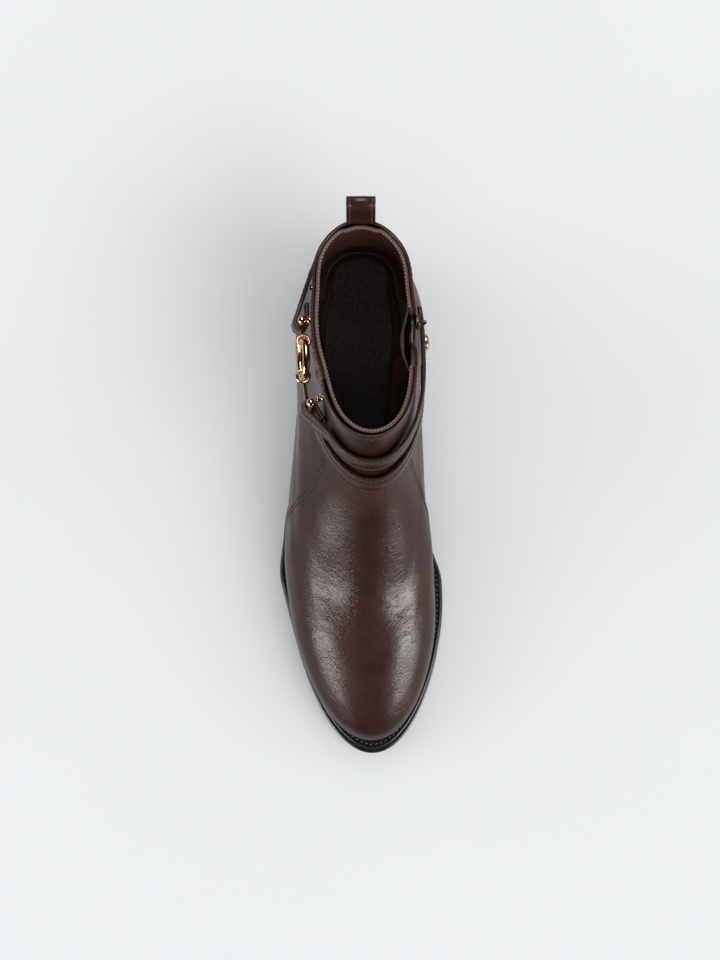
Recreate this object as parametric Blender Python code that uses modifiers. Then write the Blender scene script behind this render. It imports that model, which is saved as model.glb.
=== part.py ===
"""Strap ankle boot for the right foot, one object for each piece.

Sizes are in millimetres in the tables and functions, and turned into metres when a mesh is made.
Along the foot, s runs from the back of the boot (0) to the toe. In the scene the toe points to -Y,
the lateral side to -X and the medial side to +X. The origin is on the floor, under the heel's middle.
"""

import math

import bmesh
import bpy
import numpy as np
from mathutils import Matrix, Vector

MM = 0.001
GAP = 0.3

# Driving sizes of the sole
HEEL_CENTRE = 28.0
SOLE_LENGTH = 262.9
HEEL_RISE = 36.0
SEAT_FRONT = 40.0
SEAT_PITCH = 0.03
BALL_BACK = 150.0
BALL_FRONT = 190.0
TOE_SPRING = 8.0
OUTSOLE_THICK = 5.0
WELT_THICK = 3.4
INSOLE_RISE = 3.0
HEEL_BREAST = 57.0
TOP_LIFT_THICK = 6.0
HEEL_TAPER = 0.13
SOLE_POINTS = 92
TOE_LIP = 2.6
SIDE_LIP = 0.6
EDGE_ROUND = 0.8
HEEL_SIDE_STEPS = 14
HEEL_INSET = 1.2

# Driving sizes of the upper
WALL = 2.0
VAMP_LAP = 1.0
LAP_TURN = 0.012
QUARTER_STEPS = 14
VAMP_STEPS = 13
LEVEL_STEPS = 18
FEATHER_BACK = 3.5
FEATHER_FRONT = 252.3

# Straps: a strap is a ribbon of this width and thickness, with its edges broken
STRAP_WIDTH = 13.0
STRAP_THICK = 2.0
STRAP_EDGE = 0.4
STRAP_LEAN = 0.07
STRAP_LIFT = VAMP_LAP + 1.1
TAB_LIFT = 2.4
STRAP_STEPS = 28
# Where a strap ends on each side, as shares of a level's length, and its height share at three places
STRAP_COLUMNS = ("lateral_end", "medial_end", "lateral_v", "front_v", "medial_v")
UPPER_STRAP = (0.865, 0.66, 0.803, 0.825, 0.83)
LOWER_STRAP = (0.70, 0.54, 0.725, 0.742, 0.738)
REAR_STRAP_ENDS = (0.01, 0.11)
REAR_STRAP_HEIGHT = 0.745
REAR_STRAP_LIFTS = (0.5, 0.9)
REAR_STRAP_STEPS = 8
# Where each loop leaves its strap, as (s, x, z)
FRONT_LOOP_START = (92.6, -19.2, 115.0)
REAR_LOOP_START = (33.0, -27.2, 111.0)

# Bit hardware: the two bars as (s, x, z) of their upper and lower balls, and the ring between them
FRONT_BAR = ((82.3, -23.5, 124.0), (88.5, -26.6, 103.0))
REAR_BAR = ((42.4, -27.9, 121.0), (45.2, -30.2, 101.0))
BAR_RADIUS = 1.5
BALL_RADIUS = 2.2
ROD_RADIUS = 0.9
EYE_RADIUS = 3.0
EYE_WIRE = 0.8
RING_CENTRE = (60.6, -27.5, 112.6)
RING_LENGTH = 20.4
RING_HEIGHT = 15.0
RING_WIRE = 1.8
RING_LEAN = math.radians(17)
RING_SWING = math.radians(24)
LOOP_RADIUS = 1.9
LOOP_RETURN = 0.9
LOOP_HALF_GAP = 0.8 * GAP
RING_POINTS = 28
TURN_STEPS = 12

# Zip: its line down the medial side as shares of levels 5 to 10, with a slot that opens at the collar
ZIP_LEVELS = (5, 6, 7, 8, 9, 10)
ZIP_SHARES = (0.314, 0.379, 0.449, 0.48, 0.472, 0.442)
ZIP_FOOT = 0.56
ZIP_TOP = 0.985
ZIP_END = 0.565
ZIP_TURN_STEP = 0.02
SLOT_HALF = 3.4
SLOT_STEPS = 16
SLOT_DEPTH = 5.0
NOTCH_START = 0.82
NOTCH_REAR = 0.3
NOTCH_FRONT = 21.0
TAPE_HALF = 7.0
TAPE_CLEAR = 0.7
TAPE_THICK = 0.8
TEETH_HALF = 2.0
TEETH_RISE = 2.6
GUARD_THICK = 1.0
GUARD_BULGE = 2.4
GUARD_REAR = -8.0
GUARD_FRONT = 14.0
GUARD_WIDEN = 13.0
GUARD_EDGE_DEPTH = 2.8
ZIP_STEPS = 12
SLIDER_AT = 0.955
SLIDER_REACH = 0.03
SLIDER_SIZE = (6.2, 8.4, 2.8)
SLIDER_EDGE = 0.8
SLIDER_OUT = 0.5
BRIDGE_RADIUS = 1.75
BRIDGE_WIRE = 0.55
PIVOT_OUT = 2.7
PULL_LENGTH = 16.0
PULL_HALF = 2.6
PULL_THICK = 0.8
PULL_NECK = (2.4, 4.2)
PULL_SHOULDER = 6.0
PULL_TIP = (1.4, 2.0)
PULL_EYE = (1.5, 3.1)

# Closing tab over the zip, its snap, the studs and the pull loop
TAB_TIP_S = 36.0
TAB_TIP_HEIGHT = 0.812
TAB_STATIONS = (0.4, 1.2, 2.4, 4.0, 6.5, 11.0, 16.0, 21.0, 26.0, 31.0)
SNAP_S = 53.2
SNAP_PROFILE = ((4.2, 0.0), (4.2, 0.7), (3.4, 1.3), (1.8, 1.7), (0.0, 1.8))
STUD_PROFILE = ((2.2, 0.0), (2.2, 0.7), (1.4, 1.1), (1.4, 2.0), (2.0, 2.4), (1.6, 3.0), (0.0, 3.2))
FRONT_STUD = (79.6, 0.845)
REAR_STUD = (42.4, 0.832)
REAR_STUD_PROFILE = ((1.8, 0.0), (1.8, 1.5), (1.5, 1.8))
STRAP_POST = (26.0, 0.752)
POST_PROFILE = ((1.4, 0.0), (1.4, 1.3))
LOOP_WIDTH = 13.7
LOOP_THICK = 1.4
# The pull loop's inner face as (s, z), up the back, over its fold and down to the collar's edge
PULL_LOOP = ((-0.4, 126.0), (-1.7, 134.0), (-2.9, 142.0), (-4.1, 150.0), (-5.9, 157.0), (-8.2, 163.2),
             (-9.9, 166.6), (-10.6, 168.2), (-9.6, 168.8), (-8.2, 167.6), (-5.8, 163.6), (-3.6, 158.0),
             (-2.7, 153.5), (-2.6, 150.4))


def sole_bottom(s):
    """Height of the tread: flat under the ball, sprung at the toe and raised to the heel seat."""
    waist = np.clip((BALL_BACK - s) / (BALL_BACK - SEAT_FRONT), 0, 1)
    toe = np.clip((s - BALL_FRONT) / (SOLE_LENGTH - BALL_FRONT), 0, 1)
    seat = np.clip(SEAT_FRONT - s, 0, None) * SEAT_PITCH
    return HEEL_RISE * waist ** 2 * (3 - 2 * waist) + TOE_SPRING * toe ** 2 + seat


def welt_bottom(s):
    return sole_bottom(s) + OUTSOLE_THICK + GAP


def feather(s):
    """Height of the line where the upper meets the welt."""
    return welt_bottom(s) + WELT_THICK + GAP


# One row for each level of the upper, from the feather line to the collar. A level is a closed curve
# with a back and a front point, six half widths (of the ellipse that it follows at that station)
# and four places of its centre line. sag is how far it still follows the arch of the sole.
WIDTH_STATIONS = (0.0, 0.12, 0.35, 0.56, 0.66, 1.0)
CENTRE_STATIONS = (0.0, 0.5, 0.75, 1.0)
LEVEL_COLUMNS = ("front_s", "front_z", "back_s", "back_z", "sag",
                 "w_back", "w_heel", "w_waist", "w_arch", "w_ball", "w_toe",
                 "c_back", "c_mid", "c_fore", "c_front")
UPPER_LEVELS = (
    (FEATHER_FRONT, float(feather(FEATHER_FRONT)), FEATHER_BACK, float(feather(FEATHER_BACK)), 1.0,
     56, 41.5, 28.0, 34.0, 39.2, 44.6, 0.7, -3.0, 1.9, 6.3),
    (254.0, 23.0, 1.2, 51.0, 0.86, 58, 44.5, 30.6, 36.0, 40.4, 46.4, 0.7, -2.4, 1.8, 6.0),
    (251.6, 29.5, 0.2, 57.5, 0.70, 58, 46.5, 32.2, 35.8, 39.8, 45.0, 0.7, -2.2, 1.9, 5.9),
    (243.0, 35.5, 0.0, 64.5, 0.50, 56, 46.5, 32.8, 34.8, 37.8, 40.6, 0.7, -1.0, 2.0, 5.7),
    (226.0, 41.5, 0.3, 72.0, 0.30, 53, 45.0, 32.1, 32.4, 33.6, 34.7, 0.7, -0.2, 2.0, 5.4),
    (195.0, 51.0, 1.2, 81.0, 0.12, 50, 43.0, 31.0, 30.4, 29.9, 28.5, 0.6, -0.3, 1.8, 5.2),
    (157.0, 67.5, 2.5, 92.0, 0.03, 47, 38.5, 28.6, 28.0, 27.8, 26.5, 0.5, 0.0, 2.2, 5.4),
    (127.5, 89.5, 3.2, 105.0, 0.0, 44, 34.5, 26.8, 26.4, 26.2, 24.5, 0.4, 1.2, 3.4, 5.8),
    (111.5, 113.0, 1.8, 119.0, 0.0, 38, 32.0, 25.5, 25.2, 25.2, 25.5, 0.4, 1.9, 4.2, 5.8),
    (103.8, 132.0, -0.8, 134.0, 0.0, 34, 30.8, 25.2, 24.8, 24.8, 27.0, 0.4, 2.0, 4.4, 5.7),
    (99.0, 150.0, -3.2, 150.0, 0.0, 31, 30.0, 25.3, 24.9, 24.8, 29.5, 0.4, 1.9, 4.4, 5.6),
)
# The plan of the outsole's edge, with the same columns (its heights come from sole_bottom)
OUTSOLE_PLAN = (SOLE_LENGTH, 0, 2.2, 0, 0, 57, 43.0, 28.8, 38.0, 44.8, 46.0, 0.7, -3.4, 3.6, 6.5)

# Where the vamp's edge crosses each level, as a share of the level's length from the back
LATERAL_SEAM = (0.566, 0.552, 0.543, 0.547, 0.567, 0.635, 0.735, 0.79, 0.785, 0.755, 0.737)
MEDIAL_SEAM = (0.586, 0.570, 0.561, 0.561, 0.572, 0.612, 0.715, 0.80, 0.82, 0.80, 0.78)
MEDIAL_LAP_END = 7.4


def smooth(stations, values, x):
    """Monotone cubic through values at stations. values may hold an array for each station."""
    stations = np.asarray(stations, float)
    x = np.asarray(x, float)
    values = np.array([np.broadcast_to(np.asarray(v, float), x.shape) for v in values])
    gaps = np.diff(stations).reshape((-1,) + (1,) * x.ndim)
    slopes = np.diff(values, axis=0) / gaps
    product = slopes[:-1] * slopes[1:]
    total = slopes[:-1] + slopes[1:]
    safe = np.where(product > 0, total, 1.0)
    inner = np.where(product > 0, 2 * product / safe, 0.0)
    tangents = np.concatenate([slopes[:1], inner, slopes[-1:]])
    k = np.clip(np.searchsorted(stations, x, side="right") - 1, 0, len(stations) - 2)
    step = np.diff(stations)[k]
    q = (x - stations[k]) / step
    low, high = pick(values, k), pick(values, k + 1)
    rise_low, rise_high = pick(tangents, k) * step, pick(tangents, k + 1) * step
    blend = q * q * (3 - 2 * q)
    return low + (high - low) * blend + rise_low * q * (1 - q) ** 2 - rise_high * q * q * (1 - q)


def pick(rows, index):
    return np.take_along_axis(rows, index[None], axis=0)[0]


def level_values(v):
    """The level table read at height share v, as a dict of arrays."""
    rows = len(UPPER_LEVELS)
    table = np.array(UPPER_LEVELS, float)
    place = np.asarray(v, float) * (rows - 1)
    return {name: smooth(range(rows), table[:, i], place) for i, name in enumerate(LEVEL_COLUMNS)}


def plan_point(row, alpha):
    """(s, x) at turn alpha of a level: 0 at the back, pi at the front, lateral side between."""
    share = (1 - np.cos(alpha)) / 2
    s = row["back_s"] + (row["front_s"] - row["back_s"]) * share
    half = smooth(WIDTH_STATIONS, [row[n] for n in LEVEL_COLUMNS[5:11]], share)
    centre = smooth(CENTRE_STATIONS, [row[n] for n in LEVEL_COLUMNS[11:]], share)
    return s, centre - half * np.sin(alpha), share


def upper_point(alpha, v):
    """The upper's outer surface without the lap of the vamp, as an array (..., 3)."""
    alpha, v = np.broadcast_arrays(np.asarray(alpha, float), np.asarray(v, float))
    row = level_values(v)
    s, x, share = plan_point(row, alpha)
    chord = feather(row["back_s"]) + (feather(row["front_s"]) - feather(row["back_s"])) * share
    z = row["back_z"] + (row["front_z"] - row["back_z"]) * share + row["sag"] * (feather(s) - chord)
    return np.stack([x, HEEL_CENTRE - s, z], axis=-1)


def upper_normal(alpha, v):
    """Unit outward normal of the upper's surface."""
    turn, climb = 0.01, 0.004
    v = np.asarray(v, float)
    low, high = np.clip(v - climb, 0, 1), np.clip(v + climb, 0, 1)
    along = upper_point(alpha + turn, v) - upper_point(alpha - turn, v)
    up = upper_point(alpha, high) - upper_point(alpha, low)
    normal = np.cross(along, up)
    return normal / np.linalg.norm(normal, axis=-1, keepdims=True)


def level_out(normal):
    """A normal turned level, for the flat edges at the feather line and the collar."""
    flat = normal * (1, 1, 0)
    return flat / np.linalg.norm(flat, axis=-1, keepdims=True)


def seam_turn(shares, v):
    """The turn alpha of a vamp seam at height share v, on the lateral side."""
    share = smooth(range(len(shares)), shares, np.asarray(v, float) * (len(shares) - 1))
    return np.arccos(1 - 2 * share)


def upper_turns(v):
    """Turns of the upper's grid at one level, with a doubled line at each vamp seam."""
    lateral = float(seam_turn(LATERAL_SEAM, v))
    medial = 2 * math.pi - float(seam_turn(MEDIAL_SEAM, v))
    return np.concatenate([
        np.linspace(0, lateral, QUARTER_STEPS + 1),
        np.linspace(lateral + LAP_TURN, medial - LAP_TURN, 2 * VAMP_STEPS + 1),
        np.linspace(medial, 2 * math.pi, QUARTER_STEPS + 1)[:-1],
    ])


def vamp_lap(v):
    """Thickness of the vamp's lap along one row of the grid."""
    lap = np.zeros(2 * QUARTER_STEPS + 2 * VAMP_STEPS + 2)
    lap[QUARTER_STEPS + 1:QUARTER_STEPS + 2 * VAMP_STEPS + 2] = VAMP_LAP
    over = np.clip(v * (len(UPPER_LEVELS) - 1) - MEDIAL_LAP_END, 0, 1)
    last = QUARTER_STEPS + 2 * VAMP_STEPS + 1
    fade = np.linspace(0, 1, VAMP_STEPS)
    lap[last - VAMP_STEPS + 1:last + 1] *= 1 - over * fade
    return lap


def to_scene(points):
    return np.asarray(points, float) * MM


def add_mesh(name, verts, faces, material, sharp=40):
    """A mesh object with faces pointing out, smooth but for its sharp edges."""
    mesh = bpy.data.meshes.new(name)
    mesh.from_pydata([tuple(p) for p in to_scene(verts)], [], faces)
    work = bmesh.new()
    work.from_mesh(mesh)
    bmesh.ops.recalc_face_normals(work, faces=work.faces)
    bmesh.ops.triangulate(work, faces=work.faces)
    work.to_mesh(mesh)
    work.free()
    mesh.shade_smooth()
    mesh.set_sharp_from_angle(angle=math.radians(sharp))
    mesh.materials.append(material)
    obj = bpy.data.objects.new(name, mesh)
    PARTS.objects.link(obj)
    return obj


def ring_faces(rings, count, wrap):
    """Quads between successive rings of count points each. wrap joins the last ring to the first."""
    faces = []
    for r in range(rings if wrap else rings - 1):
        for i in range(count):
            j = (i + 1) % count
            low, high = r * count, (r + 1) % rings * count
            faces.append((low + i, low + j, high + j, high + i))
    return faces


def across_faces(start, count):
    """A cap of a ring whose points i and count - i face each other, as strips across it."""
    faces = []
    for i in range(count // 2):
        ring = [start + i, start + i + 1, start + (count - i - 1) % count, start + (count - i) % count]
        faces.append(tuple(dict.fromkeys(ring)))
    return faces


def plate(name, rings, material):
    """A solid of stacked rings with strips across its lowest and highest ring."""
    count = len(rings[0])
    faces = ring_faces(len(rings), count, False)
    faces += across_faces(0, count) + across_faces((len(rings) - 1) * count, count)
    return add_mesh(name, np.concatenate(rings), faces, material)


def outset(plan, distance):
    """A closed plan curve moved out by a distance, which may vary along it."""
    along = np.roll(plan, -1, axis=0) - np.roll(plan, 1, axis=0)
    along /= np.linalg.norm(along, axis=1, keepdims=True)
    normal = np.stack([along[:, 1], -along[:, 0]], axis=1)
    centre = plan.mean(axis=0)
    if np.sum(normal * (plan - centre)) < 0:
        normal = -normal
    return plan + normal * np.reshape(distance, (-1, 1))


def raised(plan, height, more=0.0):
    """A plan curve in (s, x) lifted to the height of a function of s, and more."""
    return np.stack([plan[:, 1], HEEL_CENTRE - plan[:, 0], height(plan[:, 0]) + more], axis=1)


def floor_height(s):
    return np.zeros_like(s)


def plan_ring(row_values, count):
    row = dict(zip(LEVEL_COLUMNS, row_values))
    s, x, share = plan_point(row, np.linspace(0, 2 * math.pi, count, endpoint=False))
    return np.stack([s, x], axis=1)


def make_material(name, colour, roughness, metallic=0.0):
    material = bpy.data.materials.new(name)
    material.use_nodes = True
    shader = material.node_tree.nodes["Principled BSDF"]
    shader.inputs["Base Color"].default_value = (*colour, 1.0)
    shader.inputs["Roughness"].default_value = roughness
    shader.inputs["Metallic"].default_value = metallic
    return material


def add_upper():
    """The hollow leather wall, open at the collar and underneath."""
    outer, inner = [], []
    for v in np.linspace(0, 1, LEVEL_STEPS + 1):
        turns = upper_turns(v)
        base, normal = upper_point(turns, v), upper_normal(turns, v)
        if v in (0, 1):
            normal = level_out(normal)
        outer.append(base + normal * vamp_lap(v)[:, None])
        inner.append(base - normal * WALL)
    for edge in (outer[0], inner[0]):
        edge[:, 2] = feather(HEEL_CENTRE - edge[:, 1])
    rings = outer + inner[::-1]
    faces = ring_faces(len(rings), len(rings[0]), True)
    return add_mesh("upper", np.concatenate(rings), faces, LEATHER)


def outsole_plan():
    return plan_ring(OUTSOLE_PLAN, SOLE_POINTS)


def welt_plan():
    """The outsole's plan drawn in where its lower lip shows, most at the toe."""
    plan = outsole_plan()
    toe = np.clip((plan[:, 0] - BALL_FRONT) / (SOLE_LENGTH - BALL_FRONT), 0, 1)
    return outset(plan, -(SIDE_LIP + (TOE_LIP - SIDE_LIP) * toe ** 2))


def add_outsole():
    plan = outsole_plan()
    tuck = outset(plan, -EDGE_ROUND)
    rings = [
        raised(tuck, sole_bottom),
        raised(plan, sole_bottom, EDGE_ROUND),
        raised(plan, sole_bottom, OUTSOLE_THICK - EDGE_ROUND),
        raised(tuck, sole_bottom, OUTSOLE_THICK),
    ]
    return plate("outsole", rings, RUBBER)


def feather_plan(inset):
    return outset(plan_ring(UPPER_LEVELS[0], SOLE_POINTS), -inset)


def add_welt():
    """A strip round the feather line, under the upper's edge."""
    plan = welt_plan()
    inside = feather_plan(WALL)
    rings = [
        raised(plan, welt_bottom),
        raised(plan, feather, -GAP - EDGE_ROUND),
        raised(outset(plan, -EDGE_ROUND), feather, -GAP),
        raised(inside, feather, -GAP),
        raised(inside, welt_bottom),
    ]
    return add_mesh("welt", np.concatenate(rings), ring_faces(len(rings), SOLE_POINTS, True), RUBBER)


def add_insole():
    plan = feather_plan(WALL + 2 * GAP)
    rings = [
        raised(plan, welt_bottom),
        raised(plan, feather, INSOLE_RISE - EDGE_ROUND),
        raised(outset(plan, -EDGE_ROUND), feather, INSOLE_RISE),
    ]
    return plate("insole", rings, FOOTBED)


def heel_plan(taper):
    """The heel's plan: the outsole's edge behind the breast, drawn in by taper from top to floor."""
    row = dict(zip(LEVEL_COLUMNS, OUTSOLE_PLAN))
    breast_share = (HEEL_BREAST - row["back_s"]) / (row["front_s"] - row["back_s"])
    breast_turn = math.acos(1 - 2 * breast_share)
    turns = np.linspace(0, breast_turn, HEEL_SIDE_STEPS + 1)
    s, lateral, share = plan_point(row, turns)
    s, medial, share = plan_point(row, -turns)
    plan = np.concatenate([np.stack([s, lateral], axis=1), np.stack([s, medial], axis=1)[:0:-1]])
    centre = np.array([HEEL_CENTRE, row["c_back"]])
    shrink = 1 - HEEL_INSET / HEEL_CENTRE - taper
    return centre + (plan - centre) * shrink


def add_heel():
    """The block heel and the top lift under it."""
    seat_share = HEEL_TAPER * TOP_LIFT_THICK / HEEL_RISE
    heel = [
        raised(heel_plan(HEEL_TAPER - seat_share), floor_height, TOP_LIFT_THICK + GAP),
        raised(heel_plan(HEEL_TAPER / 2), floor_height, HEEL_RISE / 2),
        raised(heel_plan(0), sole_bottom, -GAP),
    ]
    plate("heel", heel, RUBBER)
    lift = [
        raised(heel_plan(HEEL_TAPER), floor_height),
        raised(heel_plan(HEEL_TAPER - seat_share), floor_height, TOP_LIFT_THICK),
    ]
    plate("top_lift", lift, RUBBER)


def at(point):
    """A point (s, x, z) as (x, y, z)."""
    s, x, z = point
    return np.array([x, HEEL_CENTRE - s, z])


def unit(vector):
    return np.asarray(vector) / np.linalg.norm(vector)


def strap_profile(width, thick):
    """A ribbon's section as (across, out) pairs, from its inner face."""
    half, edge = width / 2, STRAP_EDGE
    return ((-half, edge), (-half + edge, 0), (half - edge, 0), (half, edge),
            (half, thick - edge), (half - edge, thick), (-half + edge, thick), (-half, thick - edge))


def ribbon(name, centres, across, profiles, material):
    """A solid swept along centres, with across as the direction of its width at each centre."""
    centres = np.asarray(centres)
    across = np.asarray(across)
    along = np.gradient(centres, axis=0)
    out = np.cross(across, along)
    out /= np.linalg.norm(out, axis=1, keepdims=True)
    rings = []
    for centre, side, face, profile in zip(centres, across, out, profiles):
        rings.append([centre + side * a + face * o for a, o in profile])
    count = len(rings[0])
    faces = ring_faces(len(rings), count, False)
    faces.append(tuple(range(count)))
    faces.append(tuple(range((len(rings) - 1) * count, len(rings) * count)))
    return add_mesh(name, np.concatenate(rings), faces, material)


def share_turn(share):
    return math.acos(1 - 2 * share)


def shaft_path(turns, heights, lifts, lean=STRAP_LEAN):
    """Centres on the upper's surface, lifted off it, with the direction of the width beside it."""
    climb = 0.02
    normal = upper_normal(turns, heights)
    centres = upper_point(turns, heights) + normal * np.reshape(lifts, (-1, 1))
    rise = upper_point(turns, heights + climb) - upper_point(turns, heights - climb)
    rise /= np.linalg.norm(rise, axis=1, keepdims=True)
    rise += normal * np.reshape(lean, (-1, 1))
    return centres, rise / np.linalg.norm(rise, axis=1, keepdims=True)


def loop_path(bar, arrive, hand):
    """A strap's loop round a bar: past its outer side, round its far side and back beside itself."""
    top, low = at(bar[0]), at(bar[1])
    axis = unit(top - low)
    middle = (top + low) / 2
    arrive = at(arrive)
    arrive = arrive - axis * np.dot(arrive - middle, axis)
    ahead = unit(middle - arrive)
    side = np.cross(axis, ahead) * hand
    reach = np.linalg.norm(middle - arrive)
    path = [arrive + side * LOOP_HALF_GAP]
    for q in (0.6, 0.3):
        path.append(middle - ahead * reach * q + side * (LOOP_RADIUS + (LOOP_HALF_GAP - LOOP_RADIUS) * q))
    for angle in np.linspace(0, math.pi, 9):
        path.append(middle + (side * math.cos(angle) + ahead * math.sin(angle)) * LOOP_RADIUS)
    for q in (0.3, 0.6, LOOP_RETURN):
        path.append(middle - ahead * reach * q - side * (LOOP_RADIUS + (LOOP_HALF_GAP - LOOP_RADIUS) * q))
    return np.array(path), np.repeat(axis[None], len(path), axis=0)


def rod_hole(strap, start, end):
    """A hole through a strap's loop for the rod of its bar."""
    radius, depth = ROD_RADIUS + 2 * GAP, LOOP_RADIUS + 2 * STRAP_THICK
    profile = ((radius, 0.0), (radius, depth))
    cutter = turned(strap.name + "_hole", profile, start, end - start, None, capped=True)
    move_to(cutter, CUTTERS)
    boolean(strap, cutter, "DIFFERENCE")


def move_to(obj, collection):
    """Puts an object in one collection alone. What is in the cutters' one isn't shown."""
    for other in list(obj.users_collection):
        other.objects.unlink(obj)
    collection.objects.link(obj)
    if collection == CUTTERS:
        obj.hide_render = True
        obj.display_type = "WIRE"


def boolean(obj, cutter, operation):
    modifier = obj.modifiers.new(cutter.name, "BOOLEAN")
    modifier.operation = operation
    modifier.object = cutter
    modifier.solver = "EXACT"


def turned(name, profile, origin, axis, material, capped=False):
    """A turned piece: (radius, height) pairs spun round an axis from an origin, in millimetres."""
    if capped:
        profile = ((0.0, profile[0][1]), *profile, (0.0, profile[-1][1]))
    points = [(radius * MM, 0.0, height * MM) for radius, height in reversed(profile)]
    mesh = bpy.data.meshes.new(name)
    mesh.from_pydata(points, [(i, i + 1) for i in range(len(points) - 1)], [])
    if material:
        mesh.materials.append(material)
    obj = bpy.data.objects.new(name, mesh)
    PARTS.objects.link(obj)
    screw = obj.modifiers.new("turn", "SCREW")
    screw.steps = TURN_STEPS
    screw.render_steps = TURN_STEPS
    screw.use_merge_vertices = True
    screw.merge_threshold = 0.00001
    screw.use_smooth_shade = True
    obj.location = to_scene(origin)
    obj.rotation_euler = Vector(axis).to_track_quat("Z", "Y").to_euler()
    return obj


def ball_profile(centre, radius, start, end, steps=5):
    """Points of a ball's outline between two angles from its lower pole, as (radius, height)."""
    return [(radius * math.sin(a), centre - radius * math.cos(a)) for a in np.linspace(start, end, steps)]


def torus(name, centre, normal, radius, wire, material):
    bpy.ops.mesh.primitive_torus_add(major_segments=20, minor_segments=8, major_radius=radius * MM,
                                     minor_radius=wire * MM)
    obj = bpy.context.object
    obj.name = name
    obj.data.materials.append(material)
    obj.location = to_scene(centre)
    obj.rotation_euler = Vector(normal).to_track_quat("Z", "Y").to_euler()
    move_to(obj, PARTS)
    obj.data.shade_smooth()
    return obj


def leaning(angle):
    """An upright direction with its top leaning towards the shaft."""
    return np.array([math.sin(angle), 0, math.cos(angle)])


def ring_axes():
    """The ring's long axis, towards the toe, and its leaning height axis."""
    return at((1, 0, 0)) - at((0, 0, 0)), leaning(RING_LEAN)


def add_bar(name, bar, ring_end):
    """A bar with a ball at each end, and a rod from its middle to an eye round the ring's end."""
    top, low = at(bar[0]), at(bar[1])
    length = np.linalg.norm(top - low)
    neck = math.asin(BAR_RADIUS / BALL_RADIUS)
    profile = ball_profile(0, BALL_RADIUS, 0, math.pi - neck)
    profile += ball_profile(length, BALL_RADIUS, neck, math.pi)
    profile[0] = (0.0, profile[0][1])
    profile[-1] = (0.0, profile[-1][1])
    obj = turned(name, profile, low, top - low, GOLD)
    middle = (top + low) / 2
    eye_centre = at(RING_CENTRE) + unit(ring_axes()[0]) * ring_end * (RING_LENGTH / 2 - RING_WIRE)
    toward = unit(middle - eye_centre)
    upright = leaning(RING_LEAN - RING_SWING / 2)
    eye_normal = upright - toward * np.dot(upright, toward)
    rod_start = eye_centre + toward * EYE_RADIUS
    rod_profile = ((ROD_RADIUS, 0.0), (ROD_RADIUS, np.linalg.norm(middle - rod_start)))
    rod = turned(name + "_rod", rod_profile, rod_start, toward, GOLD, capped=True)
    eye = torus(name + "_eye", eye_centre, eye_normal, EYE_RADIUS, EYE_WIRE, GOLD)
    for piece in (rod, eye):
        move_to(piece, CUTTERS)
        boolean(obj, piece, "UNION")
    return middle, rod_start


def add_ring():
    """The oval ring, with its origin at its middle, on the line that it rocks about."""
    along, height = ring_axes()
    half_length, half_height = RING_LENGTH / 2 - RING_WIRE, RING_HEIGHT / 2 - RING_WIRE
    curve = bpy.data.curves.new("bit_ring", "CURVE")
    curve.dimensions = "3D"
    curve.bevel_depth = RING_WIRE * MM
    curve.bevel_resolution = 2
    spline = curve.splines.new("POLY")
    turns = np.linspace(0, 2 * math.pi, RING_POINTS, endpoint=False)
    spline.points.add(len(turns) - 1)
    for point, turn in zip(spline.points, turns):
        place = along * half_length * math.cos(turn) + height * half_height * math.sin(turn)
        point.co = (*to_scene(place), 1.0)
    spline.use_cyclic_u = True
    curve.materials.append(GOLD)
    obj = bpy.data.objects.new("bit_ring", curve)
    obj.location = to_scene(at(RING_CENTRE))
    PARTS.objects.link(obj)


def strap_path(strap, medial_lift):
    """A strap's centres round the front of the shaft from its medial to its lateral end."""
    row = dict(zip(STRAP_COLUMNS, strap))
    lateral, medial = share_turn(row["lateral_end"]), 2 * math.pi - share_turn(row["medial_end"])
    turns = np.linspace(medial, lateral, STRAP_STEPS)
    stations = (lateral, math.pi, medial)
    heights = smooth(stations, [row[name] for name in STRAP_COLUMNS[2:]], turns)
    lifts = smooth(stations, (STRAP_LIFT, STRAP_LIFT, medial_lift), turns)
    leans = smooth(stations, (STRAP_LEAN, STRAP_LEAN, 0), turns)
    return shaft_path(turns, heights, lifts, leans)


def rear_strap_path():
    turns = np.linspace(*(share_turn(share) for share in REAR_STRAP_ENDS), REAR_STRAP_STEPS)
    heights = np.full(len(turns), REAR_STRAP_HEIGHT)
    centres, across = shaft_path(turns, heights, np.linspace(*REAR_STRAP_LIFTS, len(turns)), 0)
    return centres, across


def joined(first, second):
    return [np.concatenate(pair) for pair in zip(first, second)]


def add_strap(name, path, hand=1):
    """A strap along a path. hand is -1 where the path runs so that the strap's face points in."""
    centres, across = path
    profiles = [strap_profile(STRAP_WIDTH, STRAP_THICK)] * len(centres)
    return ribbon(name, centres, across * hand, profiles, LEATHER)


def add_straps():
    """The two front straps and the rear one. The upper and the rear strap end in the bit's loops."""
    upper_path = joined(strap_path(UPPER_STRAP, TAB_LIFT), loop_path(FRONT_BAR, FRONT_LOOP_START, 1))
    rear_path = joined(rear_strap_path(), loop_path(REAR_BAR, REAR_LOOP_START, -1))
    add_strap("lower_strap", strap_path(LOWER_STRAP, STRAP_LIFT))
    return add_strap("upper_strap", upper_path), add_strap("rear_strap", rear_path, -1)


def zip_turn(v):
    share = smooth(ZIP_LEVELS, ZIP_SHARES, np.asarray(v) * (len(UPPER_LEVELS) - 1))
    return 2 * math.pi - np.arccos(1 - 2 * share)


def zip_path(v, lift):
    """Centres along the zip's line and the forward direction across it."""
    turns = zip_turn(v)
    normal = upper_normal(turns, v)
    across = upper_point(turns - ZIP_TURN_STEP, v) - upper_point(turns + ZIP_TURN_STEP, v)
    across /= np.linalg.norm(across, axis=1, keepdims=True)
    return upper_point(turns, v) + normal * lift, across


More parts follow.
